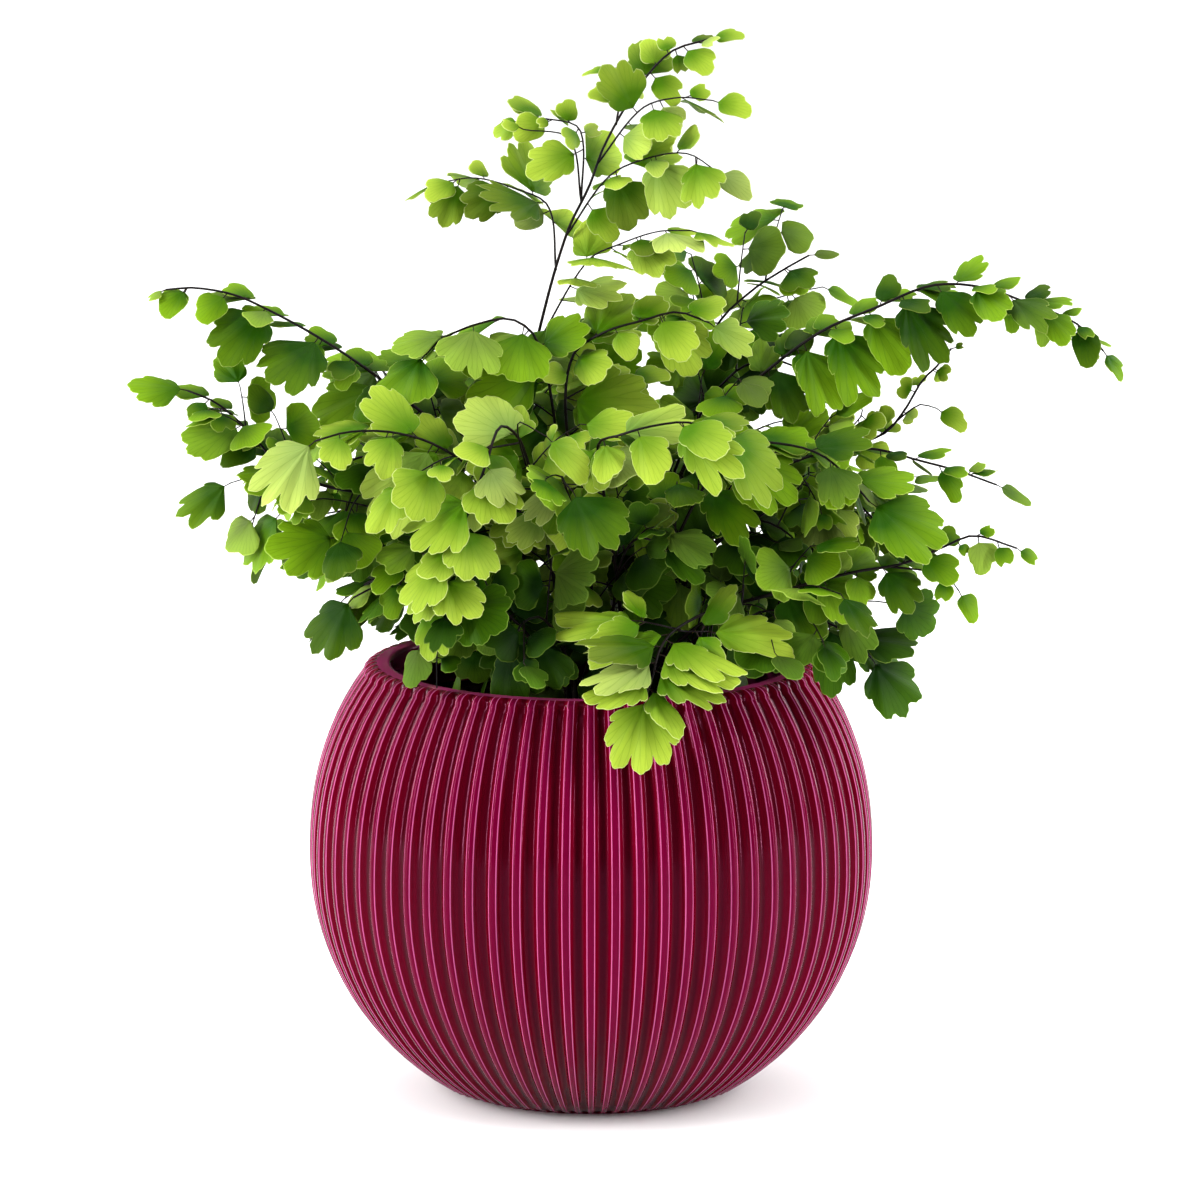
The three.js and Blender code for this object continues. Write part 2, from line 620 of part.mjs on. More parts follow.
// A three-sided rod along a stem, closed at both ends.
function stemSolid(stem) {
  const sides = STEM_SIDES;
  const { points, radii } = stem;
  const rings = points.map((point, i) => {
    const before = points[Math.max(i - 1, 0)];
    const after = points[Math.min(i + 1, points.length - 1)];
    const heading = after.clone().sub(before).normalize();
    const across = new THREE.Vector3(0, 1, 0).addScaledVector(heading, -heading.y).normalize();
    const over = heading.clone().cross(across);
    return Array.from({ length: sides }, (_, side) => {
      const angle = (side * 2 * Math.PI) / sides;
      return point.clone()
        .addScaledVector(across, radii[i] * Math.cos(angle))
        .addScaledVector(over, radii[i] * Math.sin(angle));
    });
  });
  const triangles = [];
  for (let ring = 0; ring + 1 < rings.length; ring += 1) {
    for (let side = 0; side < sides; side += 1) {
      const low = ring * sides + side;
      const next = ring * sides + ((side + 1) % sides);
      triangles.push([low, next, next + sides], [low, next + sides, low + sides]);
    }
  }
  const last = (rings.length - 1) * sides;
  for (let side = 1; side + 1 < sides; side += 1) {
    triangles.push([0, side + 1, side], [last, last + side, last + side + 1]);
  }
  return solidOf(rings.flat(), triangles);
}

// A leaflet's own frame and form. It starts at root, runs along heading, and its face looks along
// normal. Its fan opens from the end of a short neck, between two angles.
function makeLeaf(root, heading, normal, length, wing, mirror, draw) {
  const neck = NECK_LEAST + NECK_SHARE * length;
  const spread = 1 + SPREAD_NOISE * draw();
  const mixed = (key) => THREE.MathUtils.lerp(FAN[key], WING[key], wing);
  const mixedWidth = (key) => 1 / THREE.MathUtils.lerp(1 / FAN[key], 1 / WING[key], wing);
  return {
    root,
    heading,
    normal,
    across: normal.clone().cross(heading).multiplyScalar(mirror),
    mirror,
    neck,
    reach: length - neck,
    from: THREE.MathUtils.degToRad(mixed('from') * spread),
    to: THREE.MathUtils.degToRad(mixed('to') * spread),
    narrow: mixedWidth('narrow'),
    wide: mixedWidth('wide'),
    lobes: length > FOUR_LOBES_FROM ? 4 : length > THREE_LOBES_FROM ? 3 : 2,
    cup: CUP * (1 + FORM_NOISE * draw()),
    ripple: RIPPLE * draw(),
    notch: NOTCH * (1 + NOTCH_NOISE * draw()),
  };
}

// How far a leaflet's face stands off its plane, at a distance from the fan's point and a share of
// the way across the fan.
function leafRise(leaf, far, share) {
  const aside = 2 * share - 1;
  const slope = leaf.ripple * Math.cos(2 * Math.PI * leaf.lobes * share) - leaf.cup * aside * aside;
  return far * slope - (DROOP * far * far) / leaf.reach;
}

// How far a leaflet's fan reaches at an angle from its heading.
function leafReach(leaf, angle) {
  const width = angle < 0 ? leaf.narrow : leaf.wide;
  return leaf.reach / (1 + (Math.sin(angle) / width) ** 4) ** 0.25;
}

function leafPoint(leaf, share, reach) {
  const angle = leaf.from + (leaf.to - leaf.from) * share;
  const far = leafReach(leaf, angle) * reach;
  return leaf.root.clone()
    .addScaledVector(leaf.heading, leaf.neck + far * Math.cos(angle))
    .addScaledVector(leaf.across, far * Math.sin(angle))
    .addScaledVector(leaf.normal, leafRise(leaf, far, share));
}

// The points of a leaflet's edge: the end of each lobe, with a notch between each two.
function leafEdge(leaf) {
  const edge = [];
  for (let lobe = 0; lobe < leaf.lobes; lobe += 1) {
    if (lobe > 0) edge.push(leafPoint(leaf, lobe / leaf.lobes, 1 - leaf.notch));
    const share = lobe / (leaf.lobes - 1);
    edge.push(leafPoint(leaf, OUTER_LOBE_AT + (1 - 2 * OUTER_LOBE_AT) * share, 1));
  }
  return edge;
}

// A leaflet as a thin solid: the fan, whose two faces are split into triangles alike, and a short
// three-sided neck, two corners above and one below, that comes to a point inside the stalk.
function leafSolid(leaf) {
  const neckPoint = (side) => leaf.root.clone()
    .addScaledVector(leaf.heading, NECK_END)
    .addScaledVector(leaf.across, side * NECK_HALF_WIDTH);
  const edge = leafEdge(leaf);
  if (leaf.mirror < 0) edge.reverse();
  const outline = [neckPoint(-leaf.mirror), ...edge, neckPoint(leaf.mirror)];
  const count = outline.length;
  const last = count - 1;
  const foot = 2 * count - 1;
  const under = (i) => (i === last ? count : i + count);
  const moved = (point, side) => point.clone().addScaledVector(leaf.normal, (side * BLADE) / 2);
  const points = [
    ...outline.map((point) => moved(point, 1)),
    ...[neckPoint(0), ...edge].map((point) => moved(point, -1)),
    leaf.root.clone().addScaledVector(leaf.heading, -NECK_SINK),
  ];
  const middle = Math.floor(count / 2);
  const face = [[0, middle, last]];
  for (let i = 1; i < last - 1; i += 1) face.push([i < middle ? 0 : last, i, i + 1]);
  const triangles = face.flatMap(([i, j, k]) => [[i, j, k], [under(i), under(k), under(j)]]);
  for (let i = 0; i < last; i += 1) {
    triangles.push([i, under(i), under(i + 1)], [i, under(i + 1), i + 1]);
  }
  triangles.push([foot, 0, last], [foot, last, under(last)], [foot, under(0), 0]);
  return solidOf(points, triangles.filter((corners) => new Set(corners).size === 3));
}

// Points all over a leaflet, by which its neighbours are kept clear of it.
function leafSamples(leaf) {
  const rows = Math.ceil(leaf.reach / SAMPLE_STEP);
  const columns = Math.ceil(((leaf.to - leaf.from) * leaf.reach) / SAMPLE_STEP);
  const samples = [leaf.root.clone().addScaledVector(leaf.heading, leaf.neck)];
  for (let row = 1; row <= rows; row += 1) {
    for (let column = 0; column <= columns; column += 1) {
      samples.push(leafPoint(leaf, column / columns, row / rows));
    }
  }
  return samples;
}

// Whether a point lies within a gap of a leaflet's blade.
function nearLeaf(leaf, point, gap) {
  const offset = point.clone().sub(leaf.root);
  const u = offset.dot(leaf.heading) - leaf.neck;
  const v = offset.dot(leaf.across);
  const far = Math.hypot(u, v);
  if (far > leaf.reach + gap) return false;
  const slack = gap / Math.max(far, gap);
  const angle = Math.atan2(v, u);
  const share = (angle - leaf.from) / (leaf.to - leaf.from);
  if (share < -slack || share > 1 + slack) return false;
  const inside = Math.min(Math.max(share, 0), 1);
  if (far > leafReach(leaf, angle) + gap) return false;
  return Math.abs(offset.dot(leaf.normal) - leafRise(leaf, far, inside)) < gap;
}

// Whether a point is too close to the soil or to the pot's wall.
function nearPot(point) {
  const fromAxis = Math.hypot(point.x, point.y);
  if (point.z > POT_HEIGHT + POT_GAP) return false;
  if (fromAxis < MOUTH_RADIUS - POT_GAP) return point.z < SOIL_TOP + POT_GAP;
  return fromAxis < Math.max(potRadiusAt(Math.max(point.z, POT_WIDEST_AT)), MOUTH_RADIUS) + POT_GAP;
}

function leavesTouch(a, b, gap) {
  const reach = a.reach + a.neck + b.reach + b.neck + gap;
  if (a.root.distanceTo(b.root) > reach) return false;
  return a.samples.some((point) => nearLeaf(b, point, gap))
    || b.samples.some((point) => nearLeaf(a, point, gap));
}

// Whether a leaflet is clear of the pot, of every stem but the piece of stalk that it grows from,
// and of the leaflets placed before it.
function isClear(leaf, frond, stems, leaves) {
  if (leaf.samples.some(nearPot)) return false;
  const reach = leaf.reach + leaf.neck + LEAF_GAP;
  const blocked = stems.some((stem) => stem.samples.some(([point, radius]) => {
    const apart = point.distanceTo(leaf.root);
    if (apart > reach || (stem.frond === frond && apart < leaf.neck + OWN_STALK)) return false;
    return nearLeaf(leaf, point, radius + STEM_GAP);
  }));
  if (blocked) return false;
  return !leaves.some((other) => leavesTouch(leaf, other, other.frond === frond ? OWN_GAP : LEAF_GAP));
}

// The stems of a frond: its own stem first, then its side stalks.
function frondStems(frond) {
  const [x, y] = frond.root;
  const below = new THREE.Vector3(x, y, SOIL_TOP - STEM_SINK);
  const above = new THREE.Vector3(x, y, SOIL_TOP + STEM_RADIUS);
  const stem = makeStem([below, above, ...frond.path.map(placed)], STEM_RADIUS, STEM_TIP_RADIUS);
  const stalks = (frond.sprays ?? []).map((spray) => {
    const start = along(stem, spray.from).place;
    return makeStem([start, ...spray.path.map(placed)], STALK_RADIUS, STALK_TIP_RADIUS);
  });
  return [stem, ...stalks];
}

// Where the leaflets of a stalk start and how they stand, from the list of their lengths.
function stalkLeaves(stem, stalk, frond, draw) {
  const turned = new THREE.Vector3(draw(), draw(), draw()).multiplyScalar(stem.spray < 0 ? 0 : SPRAY_NOISE);
  const face = new THREE.Vector3(...frond.face).normalize().add(turned).normalize();
  const count = stalk.leaves.length;
  const sag = frond.sag ?? SAG;
  const loose = 1 - ORDERLY * frond.wing;
  return stalk.leaves.map((signed, i) => {
    const last = i === count - 1;
    const share = count > 1 ? stalk.bare + ((1 - stalk.bare) * i) / (count - 1) : 1;
    const { place, heading } = along(stem, share);
    const side = heading.clone().cross(face).normalize();
    const noise = Array.from({ length: 5 }, () => loose * draw());
    const aside = SIDE_ANGLE * (1 - (FORWARD * i) / count) + SWING_NOISE * noise[0];
    const turn = THREE.MathUtils.degToRad(last ? 0 : aside);
    const mirror = Math.sign(signed);
    const ahead = heading.clone().multiplyScalar(Math.cos(turn))
      .addScaledVector(side, mirror * Math.sin(turn));
    ahead.z -= sag * (1 + FORM_NOISE * noise[1]);
    ahead.normalize();
    const tipward = heading.clone().addScaledVector(ahead, -heading.dot(ahead)).normalize();
    const normal = new THREE.Vector3(...noise.slice(2)).multiplyScalar(FACE_NOISE).add(face);
    if (!last) normal.addScaledVector(tipward, -SHINGLE);
    normal.addScaledVector(ahead, -normal.dot(ahead)).normalize();
    const seed = Math.floor((draw() + 1) * 1e6);
    const length = Math.abs(signed) * LENGTHEN;
    const tip = length > BROAD_TIP_FROM ? BROAD_TIP_WING : SLIM_TIP_WING;
    const wing = last ? stalk.tip ?? tip : frond.wing;
    return { root: place, heading: ahead, normal, length, wing, mirror, seed, last };
  });
}

// The first of the tries that leaves a leaflet clear of all that is placed, or nothing.
function settledLeaf(asked, frond, stems, leaves) {
  const across = asked.normal.clone().cross(asked.heading);
  for (const [lift, swing, share] of TRIES) {
    const up = THREE.MathUtils.degToRad(-lift);
    const normal = asked.normal.clone().applyAxisAngle(across, up);
    const heading = asked.heading.clone().applyAxisAngle(across, up)
      .applyAxisAngle(normal, THREE.MathUtils.degToRad(swing));
    const length = asked.length * share;
    const leaf = makeLeaf(
      asked.root, heading, normal, length, asked.wing, asked.mirror, drawsFrom(asked.seed),
    );
    leaf.frond = frond;
    leaf.samples = leafSamples(leaf);
    if (isClear(leaf, frond, stems, leaves)) return leaf;
  }
  return null;
}

// All stems first, then the leaflets of each frond, so that every leaflet keeps clear of them.
function growPlant() {
  const stems = [];
  FRONDS.forEach((frond) => {
    frondStems(frond).forEach((stem, i) => {
      const count = Math.ceil(stem.length / SAMPLE_STEP);
      const samples = Array.from({ length: count + 1 }, (_, k) => {
        const { place, radius } = along(stem, k / count);
        return [place, radius];
      });
      stems.push({ ...stem, samples, frond, spray: i - 1 });
    });
  });
  const leaves = [];
  let missed = 0;
  FRONDS.forEach((frond, order) => {
    const draw = drawsFrom(1000 + order);
    stems.filter((stem) => stem.frond === frond).forEach((stem) => {
      const stalk = stem.spray < 0 ? frond : frond.sprays[stem.spray];
      stalkLeaves(stem, stalk, frond, draw).reverse().forEach((asked) => {
        if (asked.length < SHORTEST && !asked.last) return;
        const leaf = settledLeaf(asked, frond, stems, leaves);
        if (leaf) leaves.push(leaf);
        else missed += 1;
      });
    });
  });
  return { stems, leaves, missed };
}

function makeMesh(name, solid, colour, roughness) {
  const material = new THREE.MeshStandardMaterial({ color: colour, roughness, metalness: 0 });
  const mesh = new THREE.Mesh(geometryOf(solid), material);
  mesh.name = name;
  return mesh;
}

const plant = new THREE.Group();
const { stems, leaves } = growPlant();
plant.add(makeMesh('pot', makePot(), COLOURS.pot, 0.25));
plant.add(makeMesh('soil', makeSoil(FRONDS.map((frond) => frond.root)), COLOURS.soil, 1));
FRONDS.forEach((frond) => {
  const pieces = [
    ...stems.filter((stem) => stem.frond === frond).map(stemSolid),
    ...leaves.filter((leaf) => leaf.frond === frond).map(leafSolid),
  ];
  const whole = wasm.Manifold.union(pieces).simplify(MERGE_WITHIN);
  plant.add(makeMesh(frond.name, whole, COLOURS[frond.tone], 0.6));
});

export default plant;
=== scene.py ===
"""The looks of a potted maidenhair fern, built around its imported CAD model.

Sizes are in millimetres, as in part.mjs, and become metres where a mesh is made. Every frond is grown
by the same rule and from the same table as the solids, so that its larger leaflets stand where the
solids have them. The smallest leaflets, the second rows of leaflets and the leafy twigs are added
here.
"""

import itertools
import math

import bpy
import numpy as np
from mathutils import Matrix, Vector, noise


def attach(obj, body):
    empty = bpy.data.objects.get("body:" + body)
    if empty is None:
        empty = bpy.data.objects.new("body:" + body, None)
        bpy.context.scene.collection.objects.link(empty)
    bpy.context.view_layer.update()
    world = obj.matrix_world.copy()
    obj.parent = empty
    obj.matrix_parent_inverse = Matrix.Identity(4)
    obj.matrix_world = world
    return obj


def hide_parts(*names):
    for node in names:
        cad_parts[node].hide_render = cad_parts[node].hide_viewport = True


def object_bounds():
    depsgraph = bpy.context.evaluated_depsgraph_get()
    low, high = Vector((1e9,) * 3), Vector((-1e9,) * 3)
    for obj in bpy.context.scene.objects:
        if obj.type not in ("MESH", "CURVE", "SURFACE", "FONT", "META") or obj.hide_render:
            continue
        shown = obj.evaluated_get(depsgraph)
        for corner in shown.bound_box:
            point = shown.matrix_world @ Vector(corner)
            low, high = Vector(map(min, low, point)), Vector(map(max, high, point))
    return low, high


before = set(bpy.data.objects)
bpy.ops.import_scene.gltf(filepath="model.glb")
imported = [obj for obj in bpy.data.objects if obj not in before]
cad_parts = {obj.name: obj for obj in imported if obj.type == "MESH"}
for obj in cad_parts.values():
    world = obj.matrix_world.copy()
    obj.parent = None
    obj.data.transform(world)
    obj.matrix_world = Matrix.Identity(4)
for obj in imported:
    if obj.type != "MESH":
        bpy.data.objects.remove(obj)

CAD_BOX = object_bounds()
METRES = 0.001

# Pot
POT_RADIUS = 80
POT_HEIGHT = 123
POT_WIDEST_AT = 68.75
POT_UPPER_REACH = 80.4
POT_UPPER_POWER = 2.2
POT_LOWER_REACH = 78.5
POT_LOWER_POWER = 2.03
MOUTH_RADIUS = 56.4
RIM_FLAT_RADIUS = 60.4
SHOULDER_FROM = 120.2
LIP_ROUND = 1.2
WALL = 5.5
FLOOR = 6
FLOOR_INSET = 4
FLOOR_MIDDLE = 20
CENTRE = 0.5

# Ribs. Their widths are shares of the way from the middle of one ridge to that of the next, and
# RIB_POINTS are the places on that way where the pot's face has points. Towards the foot the ribs
# start shallower.
RIBS = 72
RIB_DEPTH = 1.9
RIB_SHARE_AT_FOOT = 0.75
RIB_GROWS_OVER = 24
RIDGE_HALF = 0.29
RIDGE_POWER = 2.6
GROOVE_ROUNDING = 0.14
GROOVE_FROM = 0.8 * RIDGE_HALF
RIB_POINTS = (0, 0.06, 0.12, 0.17, 0.21, 0.25, 0.31, 0.4, 0.5, 0.6, 0.69, 0.75, 0.79, 0.83, 0.88, 0.94)

# The pot's rings of points. The foot's rings are an inset, a height and a rib depth each, and the
# others are heights.
FOOT_FLAT_RADIUS = 30
FOOT_RINGS = ((2.6, 0, 0), (1.4, 0.25, 0.5), (0.5, 0.9, 1.2))
LOWER_RINGS = np.linspace(2, 20, 7)
UPPER_RINGS = np.linspace(24, 116, 22)
TOP_RINGS = (117.5, 119)
SHOULDER_STEPS = 10
SHOULDER_FADE = 0.35
RIM_RINGS = (3, LIP_ROUND + 0.3)
LIP_STEPS = 5
MOUTH_RINGS = (119, 117)
INSIDE_RINGS = (115, 108, 100, 90, 66, 40, 18, 11)

# Soil
SOIL_TOP = 107
SOIL_GAP = 0.3
SOIL_SIDES = 96
SOIL_TOP_RINGS = np.linspace(0.03, 1, 34)
SOIL_SIDE_RINGS = (100, 90, 66, 40, 18)
SOIL_FLOOR_INSET = 5
SOIL_SHADE = 0.3

# The waves of the soil's top: height, width and which noise.
SOIL_WAVES = ((1.1, 9, 1.3), (0.6, 3, 4.1))
SOIL_DIP = 0.4

# Crumbs, with how uneven they are and how far their middles stand over the soil. Corners of a crumb
# that are less than CRUMB_REACH of its size apart are joined by faces.
CRUMBS = 900
CRUMB_SEED = 77
CRUMB_ROOM = 2
CRUMB_SIZE = (0.5, 1.4)
CRUMB_STRETCH = 0.35
CRUMB_FLATTER = 0.6
CRUMB_UNEVEN = 0.18
CRUMB_LIFT = 0.15
CRUMB_REACH = 1.45

# Stems: those of the solids are thicker, and their radii keep leaflets clear.
STEM_RADIUS = 0.9
STEM_TIP_RADIUS = 0.6
STALK_RADIUS = 0.62
STALK_TIP_RADIUS = 0.52
STEM_SINK = 8
THIN_STEM = (0.74, 0.3)
THIN_STALK = (0.36, 0.2)
THIN_TWIG = (0.3, 0.18)
PETIOLE = (0.2, 0.16)
TAPER_POWER = 0.8
STEM_RUN = 3.5
STALK_RUN = 2.5
STEM_SIDES = 7
STALK_SIDES = 5
PETIOLE_SIDES = 4
PETIOLE_POINTS = 4
LEAST_RUNS = 3
PETIOLE_INTO_FAN = 0.35
PETIOLE_BEND = 0.1

# The sides of every rod are laid out from this direction.
ROD_ASIDE = (0.3, 1, 0.2)

# Leaflets
BLADE = 0.26
NECK_SHARE = 0.065
NECK_LEAST = 0.9
LENGTHEN = 1.3
SHORTEST = 11.6
LEAF_SEEDS = 1e6
THREE_LOBES_FROM = 14
FOUR_LOBES_FROM = 21.5
FAN_POWER = 4
CUP = 0.14
RIPPLE = 0.05
DROOP = 0.1
SIDE_ANGLE = 70
FORWARD = 0.35
SAG = 0.45
SPREAD_NOISE = 0.08
FORM_NOISE = 0.5
NOTCH_NOISE = 0.35
TWIG_SAG = 0.7
SWING_NOISE = 8
SPRAY_NOISE = 0.45
FACE_NOISE = 0.13
SHINGLE = 0.32
FAN = dict(start=-74, end=74, narrow=1, wide=1)
WING = dict(start=-50, end=66, narrow=0.14, wide=0.34)
BROAD_TIP_FROM = 18.5
BROAD_TIP_WING = 0.2
SLIM_TIP_WING = 0.45
ORDERLY = 0.8

# The finer outline of a leaflet: rounded lobes with notches between them, and small round teeth.
NOTCH = 0.12
NOTCH_SHARP = 0.35
LOBE_ROUND = 0.1
TEETH_PER_LOBE = 3
TOOTH = 0.03
CORNER = 0.24
CORNER_POWER = 6
SIDE_NOTCH_POWER = 0.3
LOBE_SHIFT = 0.028
MARGIN = 0.45
MARGIN_FROM = 0.8
WAVE = 0.018
RIM_THICKNESS = 0.55
FOOT_INTO_NECK = 0.1

# How finely a leaflet is cut, by its length: columns for each lobe, and rows inside the margin.
FINE_FROM = 20
MIDDLING_FROM = 14
SECOND_LOBE_FROM = 8
FINE_COLUMNS = 13
MIDDLING_COLUMNS = 8
SMALL_COLUMNS = 5
FOUR_ROWS_FROM = 17
THREE_ROWS = (0.16, 0.42, 0.7)
FOUR_ROWS = (0.14, 0.34, 0.56, 0.78)

# What counts as deep inside the plant: low down and near its axis. Leaflets there get painted shade.
DEEP_HEIGHTS = (130, 215)
DEEP_RADII = (25, 85)
INNER_SHADE_FADE = 0.75
# How much of the painted rim highlight a leaflet's sides get, against its outer edge.
SIDE_RIM_HIGHLIGHT = 0.7

# How clear a leaflet keeps of its neighbours, as in part.mjs, and for the leaflets added here.
LEAF_GAP = 1.3
OWN_GAP = 0.85
STEM_GAP = 0.5
POT_GAP = 1.2
OWN_STALK = 2
SAMPLE_STEP = 2.3
SMALL_GAP = 0.45
LONGEST_LEAF = 45

# The photograph is taken from this far above the level.
EYE_TILT = math.radians(10.2)

# How a leaflet may stand instead, where it isn't clear: its lift, its swing and its size.
TRIES = [
    (0, 0, 1), (14, 0, 1), (-14, 0, 1), (0, 16, 1), (0, -16, 1), (26, 10, 1), (-26, -10, 1),
    (0, 0, 0.8), (18, 0, 0.8), (-18, 0, 0.8), (36, 12, 0.8), (-36, -12, 0.8), (0, 24, 0.8),
    (0, -24, 0.8), (20, 0, 0.62), (-20, 0, 0.62), (44, 14, 0.62), (-44, -14, 0.62),
]

# A second row of leaflets stands between those of the table, turned a little under them.
SECOND_SIZE = 0.92
SECOND_SHIFT = 0.5
SECOND_LIFT = 10
SECOND_ROOM = 4
SECOND_TURN_NOISE = 0.15

# Twigs: short side stalks with small leaflets, wherever the plant leaves room for them.
TWIG_FROM = 0.3
TWIG_TO = 0.93
TWIG_EVERY = 7
TWIG_ROUNDS = 2
TWIG_LENGTH = (10, 26)
TWIG_LEAF = (8.5, 13.5)
TWIG_LEAF_EVERY = 4.5
TWIG_GAP = 0.5
TWIG_DEPTH = 0.08
TWIG_ROUND_SHIFT = 0.03
TWIG_SPACING_NOISE = 0.3
TWIG_LEAN = 1.1
TWIG_AHEAD = 0.5
TWIG_AHEAD_NOISE = 0.4
TWIG_RISE = 0.08
TWIG_RADII = (0.35, 0.3)
TWIG_LEAFY_SHARE = 0.75
TWIG_LEAST_LEAVES = 3
TWIG_BARE = 0.3
TWIG_TURN_NOISE = 0.35
RIM_ROOM = 5
OUTSIDE_BOX = 3

# Where each frond's random draws start, for its own leaflets, its second row and its twigs.
FROND_SEED = 1000
SECOND_SEED = 3000
TWIG_SEED = 5000
TWIG_ROUND_SEEDS = 100

# A frond grows twigs where it lies deeper inside the plant than its twig_depth.
TWIGS_NOWHERE = 1
TWIGS_EVERYWHERE = -1

